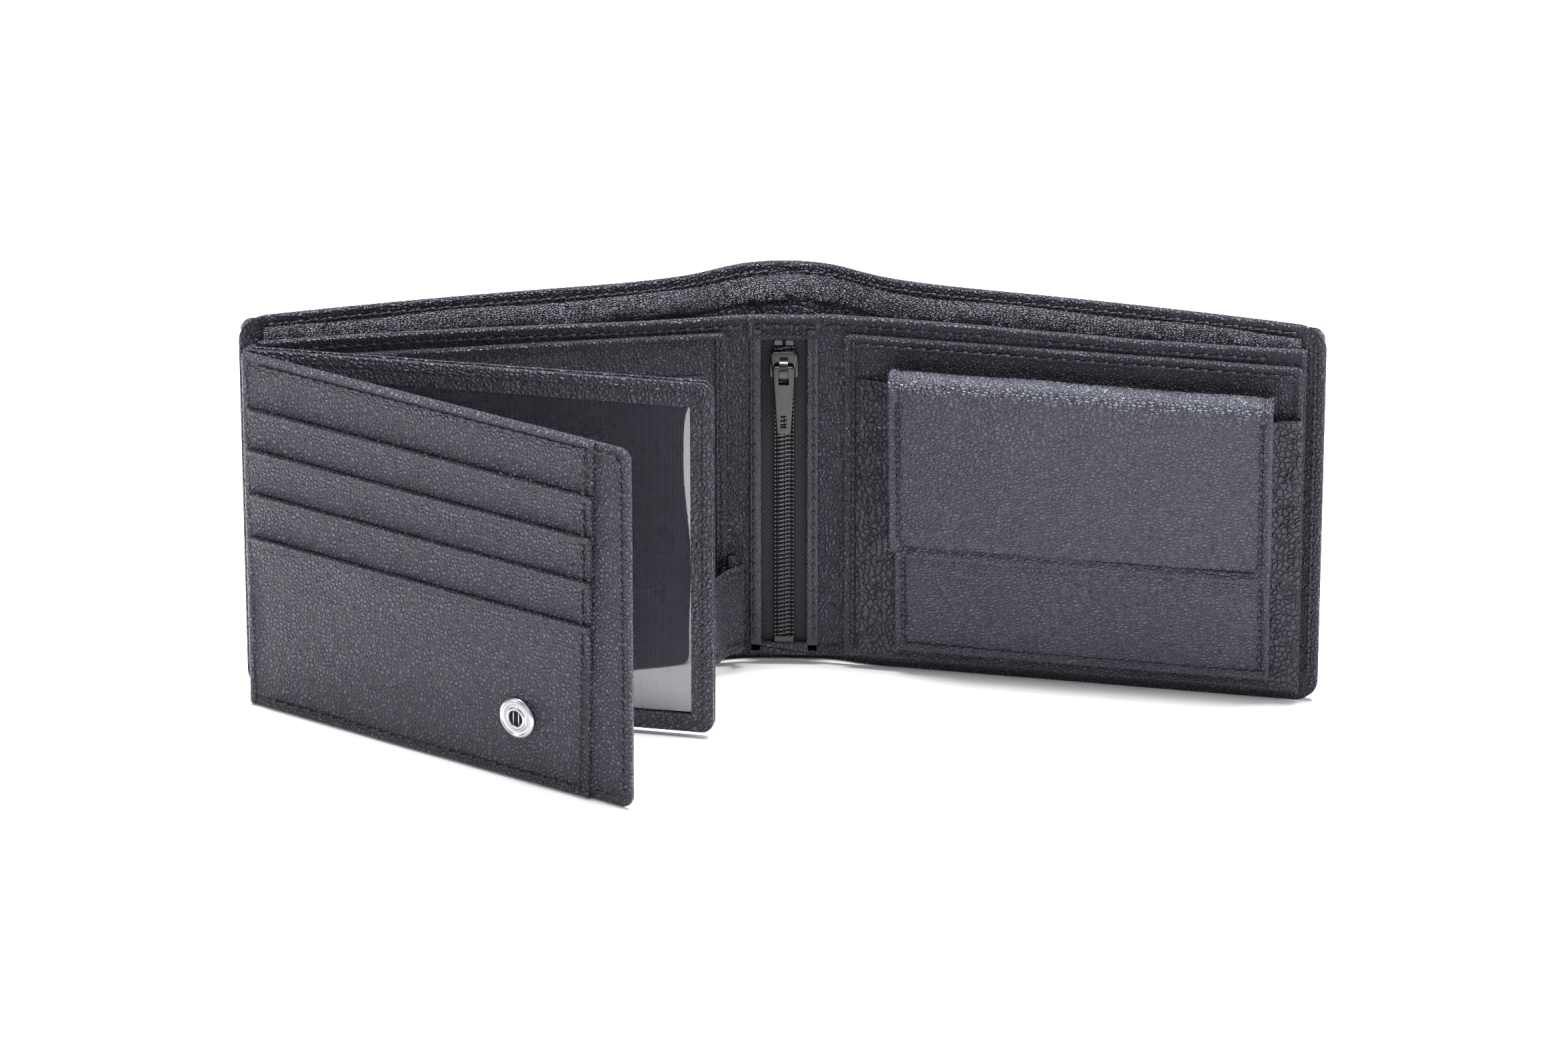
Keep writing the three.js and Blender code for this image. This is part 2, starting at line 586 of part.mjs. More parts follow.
// ---------------------------------------------------------------- coin pocket
const coinFront = -GAP - COIN_BASE;
add('coin_base_panel', put(plate(box(COIN_EDGE, PANEL_BOTTOM + 1, COIN_END - 1, COIN_BASE_TOP, 1.2),
  coinFront, -GAP), RIGHT), LEATHER);
const pocketLow = coinFront - GAP;
const frontBack = (z) => pocketLow - POCKET_DEPTH * Math.max(0, Math.min(1,
  (z - POCKET_BOTTOM) / (POCKET_TOP - POCKET_BOTTOM)));
const pocketX = (u, v) => {
  const z = POCKET_BOTTOM + (POCKET_TOP - POCKET_BOTTOM) * v;
  return [POCKET_LEFT + (POCKET_RIGHT - POCKET_LEFT) * u, z];
};
add('coin_pocket_front', put(sheet(2, 4, (u, v) => {
  const [x, z] = pocketX(u, v);
  return [x, frontBack(z) - POCKET_SKIN, z];
}, (u, v) => {
  const [x, z] = pocketX(u, v);
  return [x, frontBack(z), z];
}), RIGHT), LEATHER);
for (const [side, outer, near] of [
  ['left', GUSSET_LEFT, POCKET_LEFT], ['right', GUSSET_RIGHT, POCKET_RIGHT],
]) {
  const at = (thick) => (u, v) => {
    const z = POCKET_BOTTOM + 0.4 + (GUSSET_TOP - POCKET_BOTTOM - 0.4) * v;
    const reach = outer + (near - outer) * u * 0.93;
    const x = side === 'left' ? reach : near + (outer - near) * (1 - 0.93 * (1 - u));
    const lift = side === 'left' ? u : 1 - u;
    const open = (pocketLow - frontBack(z)) * lift * 0.8;
    return [x, pocketLow - open - thick, z];
  };
  add(`coin_gusset_${side}`, put(sheet(4, 5, at(GUSSET_SKIN), at(0)), RIGHT), LINED);
}

// flap: a rolled top and a flat front that hangs over the pocket
const flapAxisY = frontBack(POCKET_TOP) - POCKET_SKIN - GAP + (FLAP_ROLL - FLAP_SKIN);
const flapAxisZ = FLAP_TOP - FLAP_ROLL;
const lean = Math.atan2(POCKET_DEPTH, POCKET_TOP - POCKET_BOTTOM);
const flapFace = (radius) => (u, up) => {
  const turns = 0.2;
  const v = 1 - up;
  let y;
  let z;
  if (v <= turns) {
    const a = Math.PI / 2 * (v / turns);
    y = flapAxisY - radius * Math.sin(a);
    z = flapAxisZ + radius * Math.cos(a);
  } else {
    const down = (flapAxisZ - FLAP_BOTTOM) * ((v - turns) / (1 - turns));
    z = flapAxisZ - down;
    y = flapAxisY - radius + down * Math.tan(lean) * 0.9;
  }
  const into = Math.max(0, FLAP_CORNER - (z - FLAP_BOTTOM));
  const inset = FLAP_CORNER - Math.sqrt(FLAP_CORNER ** 2 - Math.min(into, FLAP_CORNER) ** 2);
  const left = FLAP_LEFT + inset;
  const right = FLAP_RIGHT - inset;
  return [left + (right - left) * u, y, z];
};
const magnetZ = FLAP_BOTTOM + 12;
const magnetX = (FLAP_LEFT + FLAP_RIGHT) / 2;
const magnetDown = (flapAxisZ - magnetZ) * Math.tan(lean) * 0.9;
const flapInside = flapAxisY - (FLAP_ROLL - FLAP_SKIN) + magnetDown;
const flap = sheet(2, 26, flapFace(FLAP_ROLL), flapFace(FLAP_ROLL - FLAP_SKIN));
add('coin_flap', put(cut(flap, drill(magnetX, magnetZ, MAGNET_RADIUS + GAP,
  flapInside - MAGNET - GAP, flapInside + 2)), RIGHT), LEATHER);
add('flap_magnet', put(turned([
  [0, flapInside - MAGNET], [MAGNET_RADIUS, flapInside - MAGNET],
  [MAGNET_RADIUS, flapInside - 0.1], [0, flapInside - 0.1],
], magnetX, magnetZ), RIGHT), NICKEL);
const pocketInside = frontBack(magnetZ) + GAP + 0.4;
add('pocket_magnet', put(turned([
  [0, pocketInside], [MAGNET_RADIUS, pocketInside],
  [MAGNET_RADIUS, pocketInside + MAGNET], [0, pocketInside + MAGNET],
], magnetX, magnetZ), RIGHT), NICKEL);
add('flap_root', put(plate(box(FLAP_LEFT + 1, 64, FLAP_RIGHT - 1, 71.4, 0.4),
  pocketLow - 0.7, pocketLow), RIGHT), LEATHER);

// the origin is under the middle of the open wallet's bounding box
const middle = new THREE.Box3().setFromObject(group).getCenter(new THREE.Vector3());
for (const mesh of group.children) {
  mesh.geometry.translate(-middle.x, -middle.y, 0);
}

export default group;
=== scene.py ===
# %% [markdown]
# # A black leather trifold wallet
# The wallet stands open on its bottom edge. The CAD model gives every piece its place; here each
# piece gets its leather, its rolled edges and its stitches. Lengths are in metres and named in mm.

# %% Load the frame
import json
import math
import bpy
from mathutils import Matrix, Vector, noise

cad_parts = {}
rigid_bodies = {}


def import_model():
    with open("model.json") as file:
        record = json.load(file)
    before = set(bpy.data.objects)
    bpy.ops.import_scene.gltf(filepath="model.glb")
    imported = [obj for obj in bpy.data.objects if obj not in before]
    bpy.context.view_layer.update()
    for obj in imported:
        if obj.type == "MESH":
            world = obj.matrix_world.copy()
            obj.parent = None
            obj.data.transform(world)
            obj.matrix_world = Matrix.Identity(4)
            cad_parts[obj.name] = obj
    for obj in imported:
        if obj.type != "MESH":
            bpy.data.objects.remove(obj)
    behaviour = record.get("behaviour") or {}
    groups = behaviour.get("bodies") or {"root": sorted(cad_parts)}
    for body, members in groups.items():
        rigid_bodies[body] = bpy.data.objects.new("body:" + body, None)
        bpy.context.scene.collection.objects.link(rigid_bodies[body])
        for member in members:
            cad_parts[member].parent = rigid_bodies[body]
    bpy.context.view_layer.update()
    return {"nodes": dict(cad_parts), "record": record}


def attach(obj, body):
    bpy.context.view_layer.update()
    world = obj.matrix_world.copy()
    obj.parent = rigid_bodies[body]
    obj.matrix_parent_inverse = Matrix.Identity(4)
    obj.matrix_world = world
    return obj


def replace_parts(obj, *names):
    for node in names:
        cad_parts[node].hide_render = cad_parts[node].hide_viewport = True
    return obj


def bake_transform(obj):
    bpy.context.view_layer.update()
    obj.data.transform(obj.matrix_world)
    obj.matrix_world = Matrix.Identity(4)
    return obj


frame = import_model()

MM = 0.001
nodes = frame["nodes"]
joint_at = {j["name"]: Vector(j["pos_m"]) for j in frame["record"]["behaviour"]["joints"] if "pos_m" in j}
print(len(nodes), "CAD nodes;", len(joint_at), "hinges")

# %% [markdown]
# ## Local frames
# Each half and each leaf is flat, so it is easiest to build it in its own frame: x along the
# leather, y to the back, z up. A frame is the hinge it turns on and its angle seen from above.

# %% Local frames
BEND = 10.4
ANGLES = {"spine": 0, "left": BEND, "right": -BEND, "window": BEND - 20.8,
          "front": BEND - 43.5, "strap": BEND + 50, "tip": BEND + 4}
HINGES = {"left": "fold_left", "right": "fold_right", "window": "window_press",
          "front": "front_press", "strap": "strap_press", "tip": "strap_bend"}


def local_frame(key):
    if key == "spine":
        spine = (joint_at["fold_left"] + joint_at["fold_right"]) / 2
        return Matrix.Translation(spine)
    return Matrix.Translation(joint_at[HINGES[key]]) @ Matrix.Rotation(math.radians(ANGLES[key]), 4, "Z")


FRAMES = {key: local_frame(key) for key in ANGLES}


def span(node, key):
    """The extent of a CAD node in a local frame: (x0, x1, y0, y1, z0, z1), in mm."""
    back = FRAMES[key].inverted()
    points = [back @ v.co for v in nodes[node].data.vertices]
    return [f(p[i] for p in points) / MM for i in range(3) for f in (min, max)]


print("inner panel, left half:", [round(v, 1) for v in span("inner_panel_left", "left")])

# %% [markdown]
# ## Materials
# One helper adds any shader node with its settings, values and links. Colours are sRGB hex codes.

# %% Shader helpers
def linear(code):
    channels = [int(code[i:i + 2], 16) / 255 for i in (1, 3, 5)]
    return [c / 12.92 if c <= 0.04045 else ((c + 0.055) / 1.055) ** 2.4 for c in channels] + [1]


def new_material(name):
    material = bpy.data.materials.new(name)
    material.use_nodes = True
    material.node_tree.nodes.clear()
    return material, material.node_tree


def add(tree, kind, values=None, links=None, **settings):
    n = tree.nodes.new(kind)
    for key, value in settings.items():
        setattr(n, key, value)
    for key, value in (values or {}).items():
        n.inputs[key].default_value = value
    for key, socket in (links or {}).items():
        tree.links.new(socket, n.inputs[key])
    return n


def finish_material(tree, shader):
    add(tree, "ShaderNodeOutputMaterial", links={"Surface": shader.outputs[0]})


# %% [markdown]
# ### Leather
# Goat and cow leather both show rounded pebbles parted by thin creases. A 3-D Voronoi pattern gives
# the cells; a second, finer noise gives the pores. The creases get a near-black colour, painted shade
# in the grain. `size` is the pebble size in mm and `stretch` makes the pebbles run in rows, as they
# do where the leather was pulled.

# %% Leather material
COOL_GLOSS = (0.86, 0.87, 1.0, 1)


def leather(name, color, crease_shade, size, bump=1.0, rough=0.46, stretch=(1, 1, 1), turn=(0, 0, 0),
            soft=0.35):
    material, tree = new_material(name)
    place = add(tree, "ShaderNodeTexCoord")
    mapped = add(tree, "ShaderNodeMapping",
                 {"Scale": [s * 1000 / size for s in stretch], "Rotation": [math.radians(t) for t in turn]},
                 {"Vector": place.outputs["Object"]})
    drift = add(tree, "ShaderNodeTexNoise", {"Scale": 0.6, "Detail": 2.0}, {"Vector": mapped.outputs[0]})
    bent = add(tree, "ShaderNodeMixRGB", {"Fac": 0.22},
               {"Color1": mapped.outputs[0], "Color2": drift.outputs["Color"]}, blend_type="ADD")
    cells = add(tree, "ShaderNodeTexVoronoi", {"Scale": 1.0, "Randomness": 0.95},
                {"Vector": bent.outputs[0]}, feature="DISTANCE_TO_EDGE")
    pebble = add(tree, "ShaderNodeMapRange",
                 {"From Min": 0.0, "From Max": soft, "To Min": 0.0, "To Max": 1.0},
                 {"Value": cells.outputs["Distance"]}, interpolation_type="SMOOTHERSTEP")
    pores = add(tree, "ShaderNodeTexNoise", {"Scale": 3.2, "Detail": 5.0, "Roughness": 0.6},
                {"Vector": mapped.outputs[0]})
    height = add(tree, "ShaderNodeMath", {2: 0.0}, {0: pores.outputs["Fac"], 2: pebble.outputs[0]},
                 operation="MULTIPLY_ADD")
    height.inputs[1].default_value = 0.5
    waves = add(tree, "ShaderNodeTexNoise", {"Scale": 110.0, "Detail": 2.0},
                {"Vector": place.outputs["Object"]})
    swell = add(tree, "ShaderNodeBump", {"Strength": 0.5, "Distance": 0.0012},
                {"Height": waves.outputs["Fac"]})
    grain = add(tree, "ShaderNodeBump", {"Strength": bump, "Distance": 0.0005 * size},
                {"Height": height.outputs[0], "Normal": swell.outputs[0]})
    # Painted shade: the colour goes near-black towards the creases between the pebbles.
    shade = add(tree, "ShaderNodeMixRGB", {"Color1": linear(crease_shade), "Color2": linear(color)},
                {"Fac": pebble.outputs[0]})
    worn = add(tree, "ShaderNodeMapRange", {"From Min": 0.3, "From Max": 0.75, "To Min": rough - 0.07,
                                           "To Max": rough + 0.13}, {"Value": waves.outputs["Fac"]})
    skin = add(tree, "ShaderNodeBsdfPrincipled",
               {"IOR": 1.5, "Specular IOR Level": 0.5, "Specular Tint": COOL_GLOSS,
                "Sheen Weight": 0.03, "Sheen Roughness": 0.4, "Sheen Tint": (0.8, 0.82, 1.0, 1)},
               {"Base Color": shade.outputs[0], "Roughness": worn.outputs[0], "Normal": grain.outputs[0]})
    finish_material(tree, skin)
    return material


# The second colour of each leather is the painted shade in its creases.
LEATHER = leather("leather_pebbled", "#353541", "#060609", 0.9, rough=0.33)
LEAF = leather("leather_leaf", "#3d3d4a", "#08080c", 1.05, rough=0.33)
FINE = leather("leather_fine_rows", "#343441", "#0c0c11", 0.75, bump=0.75, rough=0.28,
               stretch=(0.6, 1, 1), turn=(0, 35, 0))
COARSE = leather("leather_crackled", "#23232c", "#030305", 1.4, rough=0.36, soft=0.2)
SHINY = leather("leather_facing", "#24242d", "#060608", 0.8, bump=0.7, rough=0.22,
                stretch=(1, 1, 2.2))
EDGE = leather("leather_edge", "#30303b", "#101015", 0.5, bump=0.5, rough=0.24)
print("leathers made")


# %% [markdown]
# ### Other materials
# Thread, zip tape and the fine mesh behind the film share one weave. The nylon coil, the black
# enamel and the nickel plate are smooth with faint marks. The film mixes a clear and a glossy
# shader, and the share that is glossy grows as it is seen more edge on.

# %% Thread, zip, metal, film and mesh
def woven(name, color, dark, pitch, rough, bump, turn=45):
    material, tree = new_material(name)
    place = add(tree, "ShaderNodeTexCoord")
    mapped = add(tree, "ShaderNodeMapping", {"Rotation": (0, math.radians(turn), 0)},
                 {"Vector": place.outputs["Object"]})
    wave = {"Scale": 0.5 / (pitch * MM) / 3.1, "Distortion": 0.4, "Detail": 1.0}
    across = add(tree, "ShaderNodeTexWave", wave, {"Vector": mapped.outputs[0]}, bands_direction="X")
    along = add(tree, "ShaderNodeTexWave", wave, {"Vector": mapped.outputs[0]}, bands_direction="Z")
    both = add(tree, "ShaderNodeMath", None, {0: across.outputs["Fac"], 1: along.outputs["Fac"]},
               operation="MULTIPLY")
    shade = add(tree, "ShaderNodeMixRGB", {"Color1": linear(dark), "Color2": linear(color)},
                {"Fac": both.outputs[0]})
    weave = add(tree, "ShaderNodeBump", {"Strength": bump, "Distance": 0.0001},
                {"Height": both.outputs[0]})
    cloth = add(tree, "ShaderNodeBsdfPrincipled",
                {"Roughness": rough, "Sheen Weight": 0.05, "IOR": 1.45, "Specular Tint": COOL_GLOSS},
                {"Base Color": shade.outputs[0], "Normal": weave.outputs[0]})
    finish_material(tree, cloth)
    return material


def smooth_stuff(name, color, rough, metallic=0.0, ior=1.5, scratch=0.0, coat=0.0):
    material, tree = new_material(name)
    place = add(tree, "ShaderNodeTexCoord")
    marks = add(tree, "ShaderNodeTexNoise", {"Scale": 900.0, "Detail": 4.0},
                {"Vector": place.outputs["Object"]})
    dull = add(tree, "ShaderNodeMapRange", {"From Min": 0.35, "From Max": 0.7, "To Min": rough,
                                           "To Max": rough + 0.12}, {"Value": marks.outputs["Fac"]})
    fine = add(tree, "ShaderNodeBump", {"Strength": scratch, "Distance": 0.00003},
               {"Height": marks.outputs["Fac"]})
    shader = add(tree, "ShaderNodeBsdfPrincipled",
                 {"Base Color": linear(color), "Metallic": metallic, "IOR": ior, "Coat Weight": coat},
                 {"Roughness": dull.outputs[0], "Normal": fine.outputs[0]})
    finish_material(tree, shader)
    return material


def clear_film(name):
    material, tree = new_material(name)
    place = add(tree, "ShaderNodeTexCoord")
    waves = add(tree, "ShaderNodeTexNoise", {"Scale": 22.0, "Detail": 1.0},
                {"Vector": place.outputs["Object"]})
    swell = add(tree, "ShaderNodeBump", {"Strength": 0.3, "Distance": 0.003},
                {"Height": waves.outputs["Fac"]})
    gloss = add(tree, "ShaderNodeBsdfGlossy", {"Roughness": 0.03, "Color": (1, 1, 1, 1)},
                {"Normal": swell.outputs[0]})
    through = add(tree, "ShaderNodeBsdfTransparent", {"Color": (0.93, 0.93, 0.95, 1)})
    slant = add(tree, "ShaderNodeLayerWeight", {"Blend": 0.5})
    steep = add(tree, "ShaderNodeMath", {1: 4.0}, {0: slant.outputs["Facing"]}, operation="POWER")
    share = add(tree, "ShaderNodeMapRange",
                {"From Min": 0.0, "From Max": 1.0, "To Min": 0.06, "To Max": 0.8},
                {"Value": steep.outputs[0]})
    mixed = add(tree, "ShaderNodeMixShader", None,
                {0: share.outputs[0], 1: through.outputs[0], 2: gloss.outputs[0]})
    finish_material(tree, mixed)
    return material


THREAD = woven("polyester_thread", "#1d1d25", "#08080c", 0.35, 0.5, 0.5)
# Near-black: painted shade for the dark of needle holes and of the snap socket's mouth.
HOLE_SHADE = smooth_stuff("painted_hole_shade", "#020203", 0.95)
TAPE = woven("zip_tape_weave", "#1d1d23", "#08080b", 0.45, 0.75, 0.8)
MESH = woven("window_mesh_weave", "#33333b", "#0c0c11", 0.32, 0.6, 0.5, turn=0)
COIL = smooth_stuff("nylon_coil", "#0b0b10", 0.16, ior=1.6, coat=0.5)
ENAMEL = smooth_stuff("black_enamel", "#08080b", 0.2, ior=1.42, coat=0.15, scratch=0.15)
NICKEL = smooth_stuff("nickel_plate", "#a4a5aa", 0.26, metallic=1.0, scratch=0.2)
FILM = clear_film("pvc_film")
print(len(bpy.data.materials), "materials")

# %% [markdown]
# ## Building blocks
# Flat pieces start as a plane standing in the frame's xz plane. Its corners are rounded with a
# vertex bevel, it is extruded to its thickness, and its front and back edges are bevelled.

# %% Piece helpers
def only(obj):
    bpy.ops.object.select_all(action="DESELECT")
    obj.select_set(True)
    bpy.context.view_layer.objects.active = obj


def pick_faces(obj, test):
    bpy.ops.object.mode_set(mode="OBJECT")
    for f in obj.data.polygons:
        f.select = bool(test(f.center, f.normal))
    for e in obj.data.edges:
        e.select = False
    for v in obj.data.vertices:
        v.select = False
    for f in obj.data.polygons:
        if f.select:
            for v in f.vertices:
                obj.data.vertices[v].select = True
    bpy.ops.object.mode_set(mode="EDIT")
    bpy.ops.mesh.select_mode(type="FACE")


def face_outward(obj):
    """In edit mode: turn all normals out, whichever way the operator chose."""
    bpy.ops.mesh.select_all(action="SELECT")
    bpy.ops.mesh.normals_make_consistent(inside=False)
    bpy.ops.object.mode_set(mode="OBJECT")
    inside_out = sum(f.center.dot(f.normal) * f.area for f in obj.data.polygons) < 0
    bpy.ops.object.mode_set(mode="EDIT")
    if inside_out:
        bpy.ops.mesh.flip_normals()


def seat(obj, key, body, material, stands_for=()):
    """Shade the piece, put it in the row frame and let it move with its body."""
    only(obj)
    obj.data.materials.clear()
    obj.data.materials.append(material)
    if material == THREAD:
        obj.data.materials.append(HOLE_SHADE)
    bpy.ops.object.shade_smooth_by_angle(angle=math.radians(42))
    if key:
        obj.data.transform(FRAMES[key])
    if body:
        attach(obj, body)
    if stands_for:
        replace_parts(obj, *stands_for)
    return obj


def plate(name, corners, front, back, lip=0.45, turns=5):
    """A flat piece in mm: corners are (x, z, radius), anticlockwise from the bottom left."""
    bpy.ops.mesh.primitive_plane_add(size=1)
    obj = bpy.context.object
    obj.name = name
    obj.data.name = name
    for vertex, corner in zip(obj.data.vertices, (corners[0], corners[1], corners[3], corners[2])):
        vertex.co = (corner[0] * MM, back * MM, corner[1] * MM)
    only(obj)
    order = {round(c[2], 3) for c in corners if c[2] > 0}
    for radius in sorted(order, reverse=True):
        bpy.ops.object.mode_set(mode="OBJECT")
        chosen = [c for c in corners if abs(c[2] - radius) < 1e-3]
        bpy.ops.object.mode_set(mode="EDIT")
        bpy.ops.mesh.select_mode(type="VERT")
        bpy.ops.mesh.select_all(action="DESELECT")
        bpy.ops.object.mode_set(mode="OBJECT")
        for v in obj.data.vertices:
            v.select = any(abs(v.co.x - c[0] * MM) < 1e-6 and abs(v.co.z - c[1] * MM) < 1e-6
                           for c in chosen)
        bpy.ops.object.mode_set(mode="EDIT")
        bpy.ops.mesh.bevel(affect="VERTICES", offset=radius * MM, segments=turns)
    bpy.ops.object.mode_set(mode="EDIT")
    bpy.ops.mesh.select_all(action="SELECT")
    bpy.ops.mesh.extrude_region_move(TRANSFORM_OT_translate={"value": (0, (front - back) * MM, 0)})
    face_outward(obj)
    is_front = lambda c, n: n.y < -0.9 and abs(c.y - front * MM) < 1e-6
    is_back = lambda c, n: n.y > 0.9 and abs(c.y - back * MM) < 1e-6
    pick_faces(obj, is_front)
    bpy.ops.mesh.bevel(affect="EDGES", offset=min(lip, (back - front) * 0.8) * MM, segments=3)
    if back - front > 0.6:
        pick_faces(obj, is_back)
        bpy.ops.mesh.bevel(affect="EDGES", offset=0.2 * MM, segments=2)
    bpy.ops.object.mode_set(mode="OBJECT")
    return obj


def rect(x0, x1, z0, z1, r=0.0):
    return [(x0, z0, r), (x1, z0, r), (x1, z1, r), (x0, z1, r)]


# %% [markdown]
# Curved pieces start as a grid. Every vertex carries its own (u, v) from 0 to 1, closer together
# towards the rims, and a function lays it out, rims included. Extruding the whole grid along its
# normals gives the thickness.

# %% Sheets
def gathered(t):
    return 0.5 - 0.5 * math.cos(math.pi * t)


def sheet(name, across, up, lay, thickness, gather=(True, True)):
    bpy.ops.mesh.primitive_grid_add(x_subdivisions=across, y_subdivisions=up, size=1)
    obj = bpy.context.object
    obj.name = name
    obj.data.name = name
    for v in obj.data.vertices:
        u, w = v.co.x + 0.5, v.co.y + 0.5
        v.co = Vector(lay(gathered(u) if gather[0] else u, gathered(w) if gather[1] else w)) * MM
    only(obj)
    bpy.ops.object.mode_set(mode="EDIT")
    bpy.ops.mesh.select_all(action="SELECT")
    bpy.ops.mesh.extrude_region_shrink_fatten(TRANSFORM_OT_shrink_fatten={"value": -thickness * MM})
    face_outward(obj)
    bpy.ops.object.mode_set(mode="OBJECT")
    return obj


# %% [markdown]
# ## Stitches
# One stitch is a small sphere drawn out along its seam and tipped by the needle. A seam is a row
# of copies of it, 3.4 mm apart where no other pitch is named, with a near-black dimple between them
# that is painted shade for the needle hole.

# %% A stitch and a seam
STITCH_PITCH = 3.4
bpy.ops.mesh.primitive_uv_sphere_add(segments=8, ring_count=6, radius=1)
stitch = bpy.context.object
STITCH_POINTS = [v.co.copy() for v in stitch.data.vertices]
STITCH_FACES = [tuple(f.vertices) for f in stitch.data.polygons]
bpy.data.objects.remove(stitch)


def seam_row(name, path, outward, pitch=STITCH_PITCH, length=1.2, radius=0.3, tip=11, sink=0.0,
             holes=True):
    """Stitches in mm along a path of points; outward is the way the leather faces."""
    points, faces, dark = [], [], set()
    outward = Vector(outward).normalized()
    for start, end in zip(path, path[1:]):
        a, b = Vector(start), Vector(end)
        count = max(1, round((b - a).length / pitch))
        along = (b - a).normalized()
        beside = outward.cross(along).normalized()
        turned = (Matrix.Rotation(math.radians(tip), 3, outward) @ along).normalized()
        side = outward.cross(turned).normalized()
        for i in range(count):
            middle = a + (b - a) * ((i + 0.5) / count) + beside * 0.04 - outward * (sink - 0.12)
            base = len(points)
            for p in STITCH_POINTS:
                arch = radius * (1 - 0.3 * abs(p.z)) * p.x
                points.append((middle + turned * (p.z * length) + outward * arch
                               + side * (p.y * radius * 0.85)) * MM)
            faces += [tuple(base + k for k in f) for f in STITCH_FACES]
            if not holes:
                continue
            # Painted shade: a near-black flattened sphere between stitches stands for the dark of the needle
            # hole.
            gap = middle + along * ((b - a).length / count * 0.5)
            base = len(points)
            points += [(gap + along * (p.z * 0.8) + outward * (p.x * 0.36) + beside * (p.y * 0.5)) * MM
                       for p in STITCH_POINTS]
            dark.update(range(len(faces), len(faces) + len(STITCH_FACES)))
            faces += [tuple(base + k for k in f) for f in STITCH_FACES]
    mesh = bpy.data.meshes.new(name)
    mesh.from_pydata(points, [], faces)
    for k in dark:
        mesh.polygons[k].material_index = 1
    obj = bpy.data.objects.new(name, mesh)
    bpy.context.collection.objects.link(obj)
    only(obj)
    bpy.ops.object.mode_set(mode="EDIT")
    face_outward(obj)
    bpy.ops.object.mode_set(mode="OBJECT")
    return obj


def stitch_plate(name, key, body, points, y, **options):
    path = [(x, y, z) for x, z in points]
    return seat(seam_row(name, path, (0, -1, 0), **options), key, body, THREAD)


print("one stitch has", len(STITCH_FACES), "faces")

# %% [markdown]
# ## The cover
# The cover is one sheet of leather with a turned edge. It stands off the inner panels at the top,
# which opens the bill compartment, and comes back to them at both ends. Each side is one sheet
# from the middle of the spine out, shaped with the turn between the spine and its half at the fold.

# %% Cover surface
COVER_TOP, HALF_WIDTH, CORNER = 95.5, 128.2, 6.0


def fold_line(x, soften):
    over = (abs(x) - 10) / soften
    bent = over if over > 30 else math.log1p(math.exp(over))
    return -math.tan(math.radians(BEND)) * soften * bent


def gape(x, z):
    along = min(1.0, abs(x) / (HALF_WIDTH - 2))
    room = 9.6 * (1 - along ** 2.2) + 9.2 * math.exp(-(x / 22) ** 2)
    return room * max(0.0, (z - 4) / (COVER_TOP - 4)) ** 1.15


def cover_y(x, z):
    past = min(1.0, max(0.0, (abs(x) - 10) / 14))
    ease = 1 - past * past * (3 - 2 * past)
    return fold_line(x, 2.0) + 1.57 + 1.9 * ease + gape(x, z)


def wrinkle(x, z, size, depth, seed):
    return depth * noise.noise(Vector((x / size, seed, z / size)))


def rolled(distance, lip=0.3, groove=0.22, at=2.6, radius=0.7):
    """How far leather stands proud this far from its edge: a rounded lip, then the seam's groove."""
    d = max(0.0, distance)
    turned = radius - math.sqrt(max(0.0, radius ** 2 - (radius - d) ** 2)) if d < radius else 0.0
    return lip * math.exp(-((d - radius) / 0.9) ** 2) - groove * math.exp(-((d - at) / 0.5) ** 2) - turned


def side_x(side, u, inner, outer):
    """x from the inner to the outer end of one side."""
    t = u if side > 0 else 1 - u
    return side * (inner + (outer - inner) * t)


def corner_inset(x):
    into = abs(x) - (HALF_WIDTH - CORNER)
    return 0.0 if into <= 0 else CORNER - math.sqrt(max(0.0, CORNER ** 2 - into ** 2))


SIDES = {"left": -1, "right": 1}


def bend_with(obj):
    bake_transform(obj)


# %% [markdown]
# Each side of the cover gets its leather, the crackled lining inside it, the shiny facing strip
# inside its top edge and two rows of stitches, all laid out from the same curved surface.

